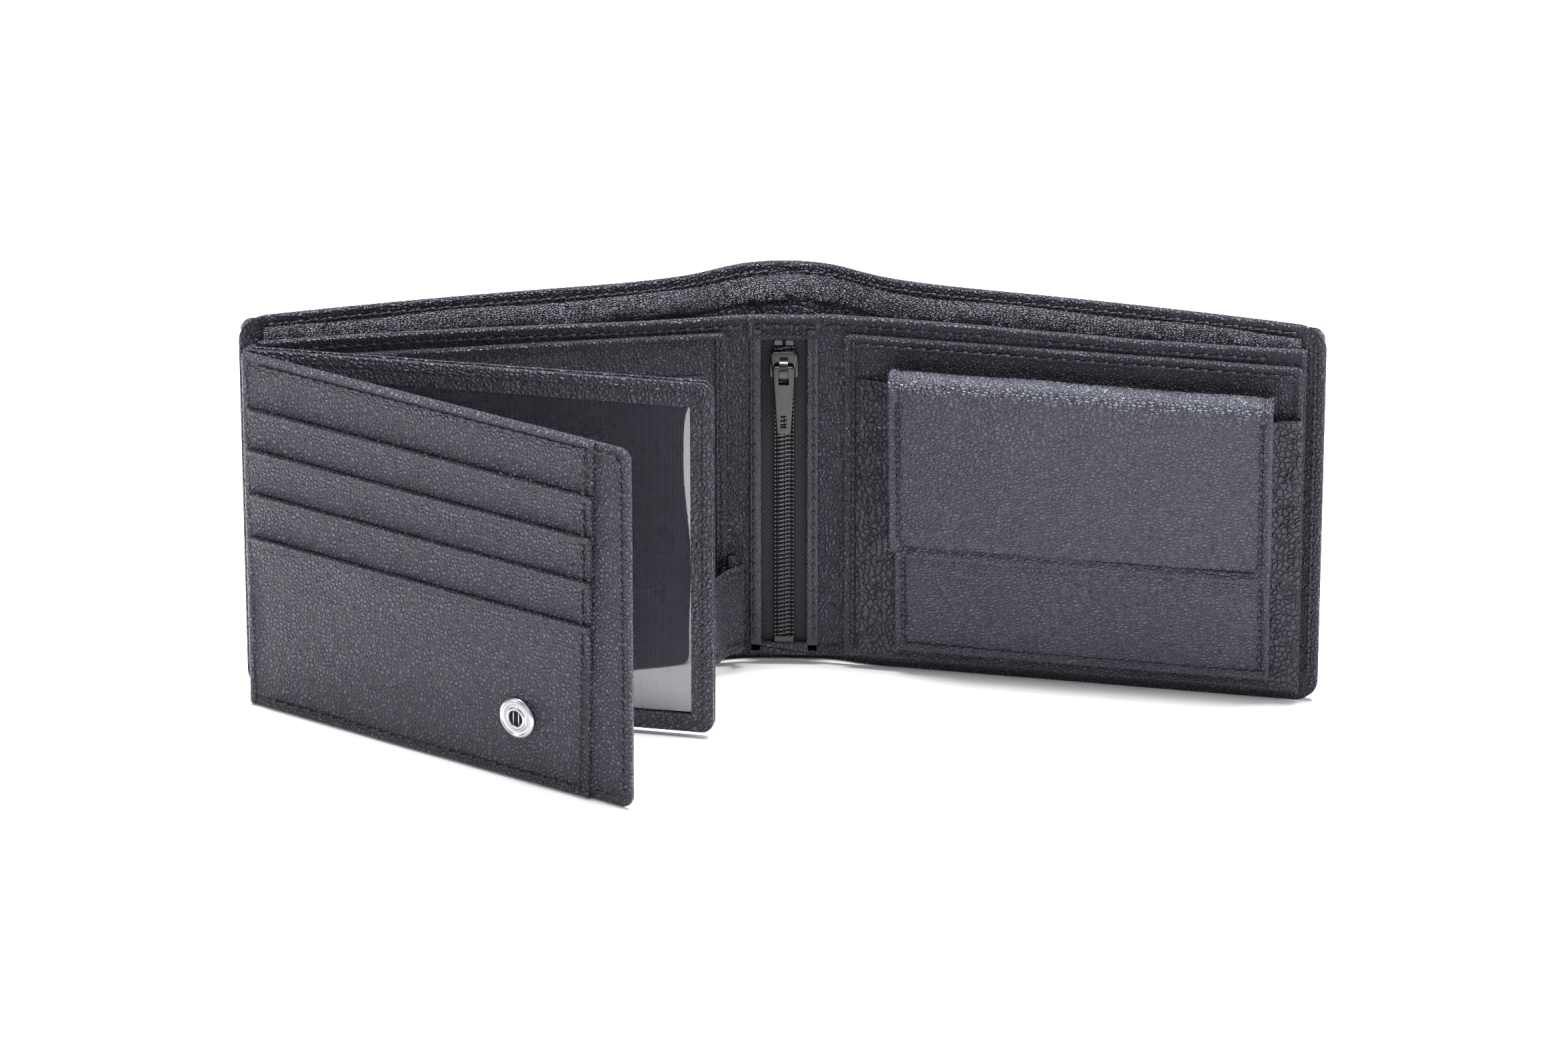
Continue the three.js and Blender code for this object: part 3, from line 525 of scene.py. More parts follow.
# %% Cover leather, lining and facing strip
SEAM_IN, SEAM_Z = 2.5, 93.1
for key, side in SIDES.items():
    def outer(u, v):
        x = side_x(side, u, 0.0, HALF_WIDTH)
        inset = corner_inset(x)
        z = inset + (COVER_TOP - 2 * inset) * v
        edge = min(HALF_WIDTH - abs(x), COVER_TOP - z, z + 2)
        return (x, cover_y(x, z) + 0.1 - rolled(edge, 0.12, 0.2, 2.4), z)

    cover = sheet("cover_" + key + "_leather", 84, 64, outer, 1.95)
    seat(cover, "spine", None, LEATHER)
    bend_with(cover)
    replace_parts(cover, "cover_" + key)

    def lining(u, v):
        x = side_x(side, u, 0.0, HALF_WIDTH - 6)
        z = 4.5 + 82.5 * v
        return (x, cover_y(x, z) - 0.45 - wrinkle(x, z, 9, 0.35, 3.1) * v, z)

    inside = sheet("lining_" + key, 60, 30, lining, 0.5)
    seat(inside, "spine", None, COARSE)
    bend_with(inside)
    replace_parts(inside, "cover_lining_" + key)

    def facing(u, v):
        x = side_x(side, u, 0.0, HALF_WIDTH - 6)
        z = 86.4 + 6.2 * v + 0.25 * math.sin(x / 7.0)
        plump = 0.45 * math.sin(math.pi * v) ** 0.7
        return (x, cover_y(x, z) - 0.7 - plump - wrinkle(x, z, 2.2, 0.28, 7.7), z)

    strip = sheet("facing_" + key, 120, 8, facing, 0.6)
    seat(strip, "spine", None, SHINY)
    bend_with(strip)
    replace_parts(strip, "cover_facing_" + key)

    columns = [side * (1.5 + 3.4 * i) for i in range(36)]
    end_x = side * (HALF_WIDTH - SEAM_IN)
    rows = {"top": [(x, cover_y(x, SEAM_Z) - 0.05, SEAM_Z) for x in columns],
            "end": [(end_x, cover_y(end_x, z) - 0.05, z) for z in range(6, 92, 3)]}
    for row, path in rows.items():
        line = seam_row("cover_stitches_" + key + "_" + row, path, (0, -1, 0), length=1.2)
        seat(line, "spine", None, THREAD)
        bend_with(line)
for name in ("cover_spine", "cover_lining_spine", "cover_facing_spine"):
    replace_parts(bpy.data.objects["cover_left_leather"], name)
print("cover made")

# %% [markdown]
# ## Padded panels
# Three panels and blocks share one shape: flat, with rounded rims, round corners and the dip of
# their seam.

# %% Padded panels
def padded_panel(name, x0, x1, z0, z1, r, front, back, steps, at=2.6):
    """A flat leather panel in mm with rounded rims, round corners and the dip of its seam."""
    def lay(u, v):
        x = x0 + (x1 - x0) * u
        into = max(0.0, r - min(x - x0, x1 - x))
        inset = r - math.sqrt(max(0.0, r ** 2 - into ** 2))
        z = z0 + inset + (z1 - z0 - 2 * inset) * v
        edge = min(x - x0, x1 - x, z - z0, z1 - z)
        return (x, front - rolled(edge, 0.3, 0.3, at) + wrinkle(x, z, 12, 0.25, x0), z)

    return sheet(name, *steps, lay, back - front)


# %% [markdown]
# ## Inner panels and the zip facing
# The inner panels are the front wall of the bill compartment. Their top edge is rolled and sewn
# 2.8 mm down. Between the folds the zip facing has a turned edge along each side of the zip.

# %% Inner panels
PANEL_TOP, PANEL_LOW, PANEL_END = 90.0, 2.3, 115.5
for key, side in SIDES.items():
    def panel(u, v):
        s = side_x(side, u, 7.6, 10 + PANEL_END * math.cos(math.radians(BEND)))
        z = PANEL_LOW + (PANEL_TOP - PANEL_LOW) * v
        edge = min(PANEL_TOP - z, abs(10 + PANEL_END * math.cos(math.radians(BEND)) - abs(s)))
        proud = rolled(edge, 0.28, 0.22, 2.7) + wrinkle(s, z, 14, 0.25, 1.3)
        return (s, fold_line(s, 0.8) - proud, z + 0.35 * math.sin(s / 19.0) * v)

    leather_panel = sheet("inner_panel_" + key + "_leather", 76, 48, panel, 1.2)
    seat(leather_panel, "spine", None, LEATHER)
    bend_with(leather_panel)
    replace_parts(leather_panel, "inner_panel_" + key)
    across = [side * (9.5 + 3.35 * i) for i in range(32)]
    path = [(x, fold_line(x, 0.8) - 0.02, 87.2 + 0.35 * math.sin(x / 19.0)) for x in across]
    line = seat(seam_row("panel_stitches_" + key, path, (0, -1, 0)), "spine", None, THREAD)
    bend_with(line)
    low = [(x, y - 0.02, 4.6) for x, y, _ in path]
    line = seat(seam_row("panel_low_stitches_" + key, low, (0, -1, 0)), "spine", None, THREAD)
    bend_with(line)

window = 5.4
facing_parts = {"left": rect(-8.3, -window, 3.2, 86.6, 0.4), "right": rect(window, 8.3, 3.2, 86.6, 0.4)}
for key, corners in facing_parts.items():
    edge = plate("zip_facing_" + key, corners, -0.5, 0.7, lip=0.4)
    seat(edge, "spine", "zip_strip", EDGE)
    x = SIDES[key] * 7.15
    stitch_plate("zip_facing_stitches_" + key, "spine", "zip_strip", [(x, 5.5), (x, 84)], -0.5,
                 sink=0.1)
band = padded_panel("zip_top_band", -8.9, 8.9, 83.7, 90.1, 0.3, -0.35, 1.2, (30, 16))
seat(band, "spine", "zip_strip", LEATHER, ["zip_facing"])
stitch_plate("zip_top_stitches", "spine", "zip_strip", [(-8, 87.3), (8, 87.2)], -0.45)
stitch_plate("zip_top_stitches_low", "spine", "zip_strip", [(-8, 85.0), (8, 85.0)], -0.45,
             pitch=1.6, length=0.6, radius=0.2, holes=False)
hem = plate("zip_bottom_band", rect(-8.6, 8.6, 2.3, 5.6, 0.3), -0.5, 1.2, lip=0.5)
seat(hem, "spine", "zip_strip", LEATHER)
print("inner panels made")

# %% [markdown]
# ## Zip
# A size 3 coil: nylon loops at 1.05 mm on woven tape. Every loop shows a bar and two bright ends.

# %% Tape and coil
def paint(node, material):
    nodes[node].data.materials.clear()
    nodes[node].data.materials.append(material)


for key, side in SIDES.items():
    tape = plate("tape_" + key, rect(*sorted((side * 0.1, side * 7.4)), 3.9, 85.6), 1.2, 1.9, lip=0.1)
    seat(tape, "spine", "zip_strip", TAPE, ["zip_tape_" + key])
COIL_LOW, COIL_HIGH, COIL_PITCH = 6.6, 82.6, 1.05
bars = []
for i in range(int((COIL_HIGH - COIL_LOW) / COIL_PITCH)):
    z = COIL_LOW + i * COIL_PITCH
    bars += [((-2.15, 0.45, z), (0.35, 0.45, z + 0.12)),
             ((2.15, 0.45, z + 0.52), (-0.35, 0.45, z + 0.4))]


def bars_to_piece(name, pairs, radius, ball):
    points, faces = [], []
    for a, b in pairs:
        a, b = Vector(a), Vector(b)
        along = (b - a).normalized()
        side = along.cross(Vector((0, -1, 0))).normalized()
        shapes = [((a + b) / 2, along * (b - a).length * 0.52, radius), (a, along * ball, ball),
                  (b, along * ball * 0.8, ball * 0.8)]
        for middle, reach, thick in shapes:
            base = len(points)
            points += [(middle + reach * p.z + side * p.y * thick + Vector((0, -1, 0)) * p.x * thick) * MM
                       for p in STITCH_POINTS]
            faces += [tuple(base + k for k in f) for f in STITCH_FACES]
    mesh = bpy.data.meshes.new(name)
    mesh.from_pydata(points, [], faces)
    obj = bpy.data.objects.new(name, mesh)
    bpy.context.collection.objects.link(obj)
    only(obj)
    bpy.ops.object.mode_set(mode="EDIT")
    face_outward(obj)
    bpy.ops.object.mode_set(mode="OBJECT")
    return obj


for key, first in (("left", 0), ("right", 1)):
    coil = bars_to_piece("coil_" + key, bars[first::2], 0.3, 0.42)
    seat(coil, "spine", "zip_strip", COIL, ["zip_coil_" + key])
    x = SIDES[key] * 1.25
    stitch_plate("coil_thread_" + key, "spine", "zip_strip", [(x, 7), (x, 82)], 0.05,
                 pitch=COIL_PITCH, length=0.4, radius=0.16, holes=False)
    paint("zip_top_stop_" + key, ENAMEL)
paint("zip_bottom_stop", ENAMEL)
paint("zip_pouch_lining", COARSE)
print(len(bars), "coil loops")

# %% [markdown]
# The slider is a cast shield with rounded shoulders, a bridge over it and a pull tab that hangs
# from the bridge by a window and has a small slot near its end.

# %% Slider and pull tab
def cut_window(obj, x0, x1, z0, z1):
    bpy.ops.mesh.primitive_cube_add(size=1)
    tool = bpy.context.object
    tool.scale = ((x1 - x0) * MM, 0.02, (z1 - z0) * MM)
    tool.location = ((x0 + x1) / 2 * MM, 0, (z0 + z1) / 2 * MM)
    bpy.ops.object.transform_apply(location=True, rotation=False, scale=True)
    only(obj)
    window_cut = obj.modifiers.new("window", "BOOLEAN")
    window_cut.object = tool
    window_cut.operation = "DIFFERENCE"
    bpy.ops.object.modifier_apply(modifier="window")
    bpy.data.objects.remove(tool)


x0, x1, y0, y1, z0, z1 = span("zip_slider", "spine")
shield = plate("slider_shield", [(-2.5, z0, 0.9), (2.5, z0, 0.9), (x1, z1, 1.6), (x0, z1, 1.6)],
               y0 - 0.1, y0 + 0.8, lip=0.4)
seat(shield, "spine", "zip_slider", ENAMEL, ["zip_slider"])
for side in (-1, 1):
    wall = plate("slider_wall_" + ("left" if side < 0 else "right"),
                 rect(*sorted((side * 2.5, side * 3.4)), z0 + 0.9, z1 - 1.2, 0.3), y0 + 0.3, y1, lip=0.2)
    seat(wall, "spine", "zip_slider", ENAMEL)
by0, by1, bz0, bz1 = span("zip_slider_bridge", "spine")[2:]


def arch(u, v):
    angle = math.pi * v
    y = by1 - (by1 - by0) * math.sin(angle) ** 0.8
    return (-1.0 + 2.0 * u, y, (bz0 + bz1) / 2 - (bz1 - bz0) / 2 * math.cos(angle))


seat(sheet("slider_bridge", 6, 20, arch, 0.75), "spine", "zip_slider", ENAMEL, ["zip_slider_bridge"])
x0, x1, y0, y1, z0, z1 = span("zip_pull_tab", "spine")
tab = plate("pull_tab", [(-1.75, z0, 0.9), (1.75, z0, 0.9), (x1, z1, 1.0), (x0, z1, 1.0)], y0, y1, lip=0.3)
cut_window(tab, -1.25, 1.25, z1 - 4.6, z1 - 0.85)
cut_window(tab, -0.75, 0.75, z0 + 1.6, z0 + 4.8)
seat(tab, "spine", "zip_pull", ENAMEL, ["zip_pull_tab"])
print("zip made")

# %% [markdown]
# ## Left half: card block and snap strap

# %% Card block
bx0, bx1, by0, by1, bz0, bz1 = span("card_block_backing", "left")
block = padded_panel("card_block_leather", bx0, bx1, bz0, bz1, 1.5, by0 - 0.3, by1, (90, 60), at=2.4)
seat(block, "left", "left_half", LEATHER, ["card_block_backing", "card_block_top_band"])
px0, px1, py0, py1, pz0, pz1 = span("card_block_pocket", "left")
pocket = plate("card_pocket_lip", rect(px0 + 1, px1 - 4.8, pz0 + 2, pz1, 0.6), py0 - 0.05, py1, lip=0.4)
seat(pocket, "left", "left_half", LEATHER, ["card_block_pocket"])
stitch_plate("card_block_stitches", "left", "left_half",
             [(bx1 - 2.4, bz0 + 2), (bx1 - 2.4, bz1 - 2)], by0 - 0.4)
stitch_plate("card_block_top_stitches", "left", "left_half", [(bx1 - 18, bz1 - 2.0), (bx1 - 3, bz1 - 2.0)],
             by0 - 0.4, pitch=1.3, length=0.5, radius=0.2, holes=False)
paint("strap_anchor", LEATHER)


# %% [markdown]
# The strap is a tongue of folded leather sewn beside the fold. It comes forward, turns and lies
# behind the window leaf. Its free end carries the stud that snaps into the front leaf.

# %% Snap strap
sz0, sz1 = span("strap_root", "strap")[4:]
hinge = FRAMES["left"].inverted() @ FRAMES["strap"].translation / MM
turn = FRAMES["left"].inverted() @ FRAMES["tip"].translation / MM


def strap_path(t):
    """The strap seen from above, in the left half's frame: from its root (0) to its end (1)."""
    corners = [Vector((-3.6, -0.9)), Vector((-0.9, -1.3)), Vector((-0.4, -3.4)),
               hinge.xy.lerp(turn.xy, 0.45), turn.xy, turn.xy + Vector((-14, -2.2)),
               turn.xy + Vector((-38, -2.6))]
    spans = len(corners) - 1
    k = min(spans - 1, int(t * spans))
    f = t * spans - k
    before, a, b, after = corners[max(0, k - 1)], corners[k], corners[k + 1], corners[min(spans, k + 2)]
    return 0.5 * ((2 * a) + (b - before) * f + (2 * before - 5 * a + 4 * b - after) * f ** 2
                  + (3 * a - before - 3 * b + after) * f ** 3)


def strap_piece(name, start, end, round_end):
    def lay(u, v):
        t = start + (end - start) * (1 - u)
        x, y = strap_path(t)
        run = (1 - t) * 55 if round_end else 99
        inset = 0.0 if run > 6 else 6 - math.sqrt(max(0.0, 36 - (6 - run) ** 2))
        z = sz0 + inset + (sz1 - sz0 - 2 * inset) * v
        return (x, y - 0.7 - rolled(min(z - sz0, sz1 - z), 0.15, 0.15, 2.2), z)

    obj = sheet(name, 40, 24, lay, 1.4)
    seat(obj, "left", None, LEATHER)
    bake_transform(obj)
    for z in (sz0 + 2.1, sz1 - 2.1):
        steps = 6 if start == 0 else 10
        path = [Vector((*strap_path(start + (end - start) * i / steps), z)) for i in range(1, steps)]
        path = [p + Vector((0, -0.72, 0)) for p in path]
        line = seat(seam_row(name + "_stitches_" + str(int(z)), path, (0.4, -1, 0)), "left", None, THREAD)
        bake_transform(line)
    return obj


root = strap_piece("strap_near", 0.0, 0.56, False)
tongue = strap_piece("strap_far", 0.56, 1.0, True)
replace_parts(root, "strap_root")
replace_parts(tongue, "strap_tip")
paint("strap_stud", NICKEL)
paint("strap_cap", NICKEL)
print("left half made")

# %% [markdown]
# ## Leaves
# Two leaves hinge at the left edge, one in front of the other, like pages. Each turns on a rolled
# edge, and a web of leather ties each roll to what it turns on: the half, or the window leaf.

# %% Hinge rolls and webs
def roll(name, key, body, radius, z0, z1, stands_for):
    bpy.ops.mesh.primitive_cylinder_add(vertices=24, radius=radius * MM, depth=(z1 - z0) * MM,
                                        location=(0, 0, (z0 + z1) / 2 * MM))
    obj = bpy.context.object
    obj.name = name
    bpy.ops.object.transform_apply(location=True, rotation=False, scale=False)
    only(obj)
    round_ends = obj.modifiers.new("ends", "BEVEL")
    round_ends.width = 0.5 * MM
    round_ends.segments = 3
    round_ends.angle_limit = math.radians(60)
    bpy.ops.object.modifier_apply(modifier="ends")
    return seat(obj, key, body, LEAF, stands_for)


roll("window_leaf_roll", "window", "window_strip", 1.25, 1.5, 89.8, ["window_leaf_hinge"])
roll("front_leaf_roll", "front", "front_strip", 1.35, 0.4, 89.6, ["front_leaf_hinge"])
window_at = FRAMES["left"].inverted() @ FRAMES["window"].translation / MM
front_at = FRAMES["window"].inverted() @ FRAMES["front"].translation / MM


def web(name, key, body, a, b, z0, z1):
    def lay(u, v):
        p = Vector(a).lerp(Vector(b), u)
        return (p.x, p.y, z0 + (z1 - z0) * v)

    obj = sheet(name, 3, 12, lay, 1.5)
    return seat(obj, key, body, LEAF)


web("window_leaf_web", "left", "left_half", (window_at.x, window_at.y), (window_at.x + 2.5, 0.4), 2.2, 89)
web("front_leaf_web", "window", "window_leaf", (0, 0), (front_at.x, front_at.y), 1.2, 89)
print("rolls and webs made")

# %% [markdown]
# The window leaf is a leather frame over clear film, with fine black mesh behind the film.

# %% Window leaf
def soften(obj, width=0.25, angle=60):
    only(obj)
    edge = obj.modifiers.new("soft", "BEVEL")
    edge.width = width * MM
    edge.segments = 2
    edge.limit_method = "ANGLE"
    edge.angle_limit = math.radians(angle)
    bpy.ops.object.modifier_apply(modifier="soft")


wx0, wx1, wy0, wy1, wz0, wz1 = span("window_frame_front", "window")
OPENING = (10.2, wx1 - 5.4, wz0 + 4.6, wz1 - 6.2)
leaf_frame = plate("window_leaf_frame", [(0.4, wz0, 0.6), (wx1, wz0, 3.0), (wx1, wz1, 3.0), (0.4, wz1, 0.6)],
                   wy0 - 0.15, wy1, lip=0.4, turns=6)
cut_window(leaf_frame, *OPENING)
soften(leaf_frame, 0.22)
seat(leaf_frame, "window", "window_leaf", LEAF, ["window_frame_front"])
right, top, low = wx1 - 2.3, wz1 - 2.4, wz0 + 2.2
stitch_plate("window_leaf_stitches", "window", "window_leaf",
             [(3, low), (right - 1.5, low), (right, low + 1.5), (right, top - 1.5),
              (right - 1.5, top), (3, top)],
             wy0 - 0.16, sink=0.25)
back = plate("window_leaf_back", [(0.4, wz0, 0.6), (wx1, wz0, 3.0), (wx1, wz1, 3.0), (0.4, wz1, 0.6)],
             0.6, 1.3, lip=0.2, turns=6)
seat(back, "window", "window_leaf", LEAF, ["window_frame_back"])


def billow(x, z, depth):
    u = (x - OPENING[0]) / (OPENING[1] - OPENING[0])
    v = (z - OPENING[2]) / (OPENING[3] - OPENING[2])
    inside = max(0.0, 4 * u * (1 - u)) ** 0.5 * max(0.0, 4 * v * (1 - v)) ** 0.5
    return depth * inside * noise.noise(Vector((x / 30, 4.4, z / 42)))


def film(u, v):
    x, z = 2 + (wx1 - 4) * u, wz0 + 2 + (wz1 - wz0 - 4) * v
    return (x, -0.27 + billow(x, z, 0.35) - 0.85 * (1 - abs(2 * u - 1) ** 9) * (1 - abs(2 * v - 1) ** 14), z)


pane = sheet("window_film_pane", 60, 46, film, 0.12)
seat(pane, "window", "window_leaf", FILM, ["window_film"])


def backing(u, v):
    x, z = 2 + (wx1 - 4) * u, wz0 + 2 + (wz1 - wz0 - 4) * v
    return (x, 0.32 + billow(x, z, 0.25), z)


cloth = sheet("window_mesh_cloth", 50, 40, backing, 0.15)
seat(cloth, "window", "window_leaf", MESH, ["window_mesh"])
print("window leaf made")

# %% [markdown]
# The front leaf has a back layer and, in front of it, four card slots that overlap like shingles.
# Each slot's mouth is a turned edge with a crease below it. The slots end in a slanting cut edge.

# %% Front leaf
fx0, fx1, fy0, fy1, fz0, fz1 = span("front_leaf_back", "front")
SLOT_TOPS = [span("front_leaf_slot_" + str(i), "front")[5] for i in (1, 2, 3, 4)]
EDGE_LOW, EDGE_HIGH = 98.8, 101.2


def slot_edge(z):
    return EDGE_LOW + (EDGE_HIGH - EDGE_LOW) * (z - fz0) / (fz1 - fz0)


layer = plate("front_leaf_layer", [(0.4, fz0, 0.6), (fx1, fz0, 3.0), (fx1, fz1, 3.0), (0.4, fz1, 0.6)],
              fy0 - 0.35, fy1, lip=0.45, turns=6)
seat(layer, "front", "front_leaf", LEAF, ["front_leaf_back"])
layers = [("front_leaf_top", SLOT_TOPS[0] - 2.0, fz1, -0.95, 0.1)]
for i, top_z in enumerate(SLOT_TOPS):
    low_z = SLOT_TOPS[i + 1] - 2.0 if i < 3 else fz0
    layers.append(("front_leaf_slot_" + str(i + 1) + "_leather", low_z, top_z, -0.95, 0.75))
for i, (name, low_z, top_z, face, forward) in enumerate(layers):
    def slot(u, v):
        z = low_z + (top_z - low_z) * v
        x = 0.9 + (slot_edge(z) - 0.9) * u
        down = top_z - z
        lean = forward * (v if i < 4 else max(0.0, 1 - down / 13)) ** 1.2
        lip = rolled(down, 0.5, 0.16, 2.3, 0.6) if i else rolled(down, 0.25, 0.3, 2.2)
        side = rolled(slot_edge(z) - x, 0.12, 0.2, 2.4)
        foot = rolled(z - fz0, 0.1, 0.2, 2.2) if i == 4 else 0.0
        full = 0.25 * math.sin(math.pi * min(1.0, u)) * (1 if i else 0.3)
        return (x, face - lean - lip - side - foot - full + wrinkle(x, z, 11, 0.12, i * 2.3), z)

    rows = 60 if i == 4 else 26
    seat(sheet(name, 70, rows, slot, 0.62), "front", "front_leaf", LEAF)
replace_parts(bpy.data.objects["front_leaf_top"], "front_leaf_top_band")
for i in (1, 2, 3, 4):
    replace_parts(bpy.data.objects["front_leaf_slot_" + str(i) + "_leather"], "front_leaf_slot_" + str(i))
stitch_plate("front_leaf_top_stitches", "front", "front_leaf",
             [(3, fz1 - 2.2), (slot_edge(fz1) - 3, fz1 - 2.2)], -1.0)
stitch_plate("front_leaf_low_stitches", "front", "front_leaf",
             [(3, fz0 + 2.2), (slot_edge(0) - 3, fz0 + 2.2)], -1.05)
stitch_plate("front_leaf_slot_stitches", "front", "front_leaf",
             [(slot_edge(0) - 2.4, fz0 + 2.5), (slot_edge(fz1) - 2.4, fz1 - 2.5)], -1.32)
stitch_plate("front_leaf_edge_stitches", "front", "front_leaf",
             [(slot_edge(0), fz0 + 2.2), (fx1 - 4, fz0 + 2.2), (fx1 - 2.4, fz0 + 4), (fx1 - 2.4, fz1 - 4),
              (fx1 - 4, fz1 - 2.2), (slot_edge(fz1), fz1 - 2.2)], fy0 - 0.34)
print("front leaf made")

# %% [markdown]
# The snap socket is a pressed nickel cup: rim, shallow channel, raised collar and a round mouth
# crossed by two spring wires. A near-black disc inside the mouth is painted shade for the hollow's darkness.

# %% Snap socket
def pressed_disc(name, x, z, back_y, radius, steps):
    """A round pressing in the frame's xz plane; steps are (inset mm, rise mm) from the rim in."""
    bpy.ops.mesh.primitive_cylinder_add(vertices=64, radius=radius * MM, depth=0.3 * MM,
                                        rotation=(math.pi / 2, 0, 0),
                                        location=(x * MM, (back_y - 0.15) * MM, z * MM))
    obj = bpy.context.object
    obj.name = name
    bpy.ops.object.transform_apply(location=True, rotation=True, scale=False)
    pick_faces(obj, lambda c, n: n.y < -0.9)
    for inset_by, rise in steps:
        bpy.ops.mesh.inset(thickness=inset_by * MM, depth=rise * MM)
    bpy.ops.object.mode_set(mode="OBJECT")
    soften(obj, 0.08, 35)
    return obj


sx0, sx1, sy0, sy1, sz_low, sz_high = span("snap_socket", "front")
snap_x, snap_z = (sx0 + sx1) / 2, (sz_low + sz_high) / 2
cup = pressed_disc("snap_cup", snap_x, snap_z, sy1 - 0.35, 5.0,
                   [(0.25, 0.35), (0.5, 0.25), (0.35, -0.3), (1.1, -0.05), (0.2, 0.32), (0.35, 0.12),
                    (0.25, -0.1), (0.2, -0.7), (0.05, -0.5)])
seat(cup, "front", "front_leaf", NICKEL, ["snap_socket", "snap_socket_spring"])
# Painted shade: a near-black disc inside the mouth stands for the dark hollow of the socket.
bpy.ops.mesh.primitive_cylinder_add(vertices=48, radius=1.72 * MM, depth=0.1 * MM,
                                    rotation=(math.pi / 2, 0, 0),
                                    location=(snap_x * MM, -1.74 * MM, snap_z * MM))
mouth = bpy.context.object
mouth.name = "snap_mouth_painted_shade"
bpy.ops.object.transform_apply(location=True, rotation=True, scale=False)
seat(mouth, "front", "front_leaf", HOLE_SHADE)
wires = [((snap_x + d, -1.95, snap_z - 1.65), (snap_x + d, -1.95, snap_z + 1.65))
         for d in (-0.75, 0.75)]
seat(bars_to_piece("snap_wires", wires, 0.17, 0.1), "front", "front_leaf", NICKEL)
ticks = []
KNURLS = 44
for i in range(KNURLS):
    a = 2 * math.pi * i / KNURLS
    reach = [Vector((math.cos(a), 0, math.sin(a))) * r for r in (3.05, 3.6)]
    ticks.append(tuple(Vector((snap_x, sy1 - 0.96, snap_z)) + r for r in reach))
seat(bars_to_piece("snap_knurl", ticks, 0.12, 0.08), "front", "front_leaf", NICKEL)
paint("snap_socket_cap", NICKEL)
print("snap made")

# %% [markdown]
# ## Right half: the coin pocket
# The pocket's front is held out from the base panel by two crinkled gussets.

# %% Coin base, pocket front and gussets
cx0, cx1, cy0, cy1, cz0, cz1 = span("coin_base_panel", "right")
base = padded_panel("coin_base_leather", cx0, cx1, cz0, cz1, 1.5, cy0 - 0.05, cy1, (90, 60), at=2.5)
seat(base, "right", "right_half", LEATHER, ["coin_base_panel"])
stitch_plate("coin_base_stitches", "right", "right_half",
             [(cx0 + 2.5, cz0 + 2), (cx0 + 2.5, cz1 - 2.5), (cx1 - 3, cz1 - 2.5)], cy0 - 0.28)
gx0, gx1, gy0, gy1, gz0, gz1 = span("coin_pocket_front", "right")
MOUTH = 4.6


def pocket_y(z):
    return -1.4 - MOUTH * max(0.0, min(1.0, (z - gz0) / (gz1 - gz0)))


def pocket(u, v):
    x, z = gx0 + (gx1 - gx0) * u, gz0 + (gz1 - gz0) * v
    edge = min(x - gx0, gx1 - x)
    foot = rolled(z - gz0, 0.15, 0.15, 2.2)
    belly = 0.5 * math.sin(math.pi * u) ** 0.6 * math.sin(math.pi * v) ** 0.6
    proud = belly + rolled(edge, 0.35, 0.28, 2.4) + foot
    return (x, pocket_y(z) - 1 - proud + wrinkle(x, z, 16, 0.3, 5.5), z)


seat(sheet("coin_pocket_leather", 90, 60, pocket, 0.9), "right", "coin_front", FINE,
     ["coin_pocket_front"])
for x, name in ((gx0 + 2.4, "left"), (gx1 - 2.4, "right")):
    path = [(x, pocket_y(z) - 0.95, z) for z in (gz0 + 2, (gz0 + gz1) / 2, gz1 - 1)]
    seat(seam_row("coin_pocket_stitches_" + name, path, (0, -1, 0)), "right", "coin_front", THREAD)
low_z = gz0 + 2.2
path = [(x, pocket_y(low_z) - 1.05, low_z) for x in (gx0 + 2, gx1 - 2)]
seat(seam_row("coin_pocket_low_stitches", path, (0, -1, 0)), "right", "coin_front", THREAD)


def gusset(name, outer, inner, top_z):
    def lay(u, v):
        z = 4.5 + (top_z - 4.5) * v
        rise = max(0.0, (z - 6) / (top_z - 6))
        u = u if outer < inner else 1 - u
        x = outer + (inner - outer) * u
        fold = 0.9 * math.sin(math.pi * min(1.0, u * 1.25)) * rise
        depth = -1.5 + (pocket_y(z) + 1.4) * max(0.0, (u - 0.35) / 0.65) ** 1.3
        crinkle = wrinkle(x, z, 1.9, 0.5, 9.1) + wrinkle(x, z, 5.5, 0.7, 2.7)
        return (x, depth - fold - crinkle * (0.4 + rise) * math.sin(math.pi * min(1.0, u + 0.12)), z)

    obj = sheet(name, 22, 90, lay, 0.6)
    seat(obj, "right", None, COARSE)
    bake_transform(obj)
    return obj


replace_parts(gusset("gusset_leather_left", 7.8, gx0 + 1.2, 75), "coin_gusset_left")
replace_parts(gusset("gusset_leather_right", 115.2, gx1 - 1.2, 73), "coin_gusset_right")
print("coin pocket made")

# %% [markdown]
# The flap rises from its sewn root, rolls over the top and hangs down the front, leaning back a
# little towards its lower edge. It is sewn round three sides.

# %% Coin flap
ROLL_Z, ROLL_R, FLAP_LEAN = 75.6, 3.6, 0.061
roll_at = FRAMES["right"].inverted() @ joint_at["coin_flap"] / MM
kx0, kx1, ky0, ky1, kz0, kz1 = span("coin_flap", "right")
FLAP_CORNER = 4.5
PATH_BACK, PATH_ROLL, PATH_FRONT = 5.0, math.pi * (ROLL_R + 0.3), ROLL_Z - kz0
PATH_ALL = PATH_BACK + PATH_ROLL + PATH_FRONT


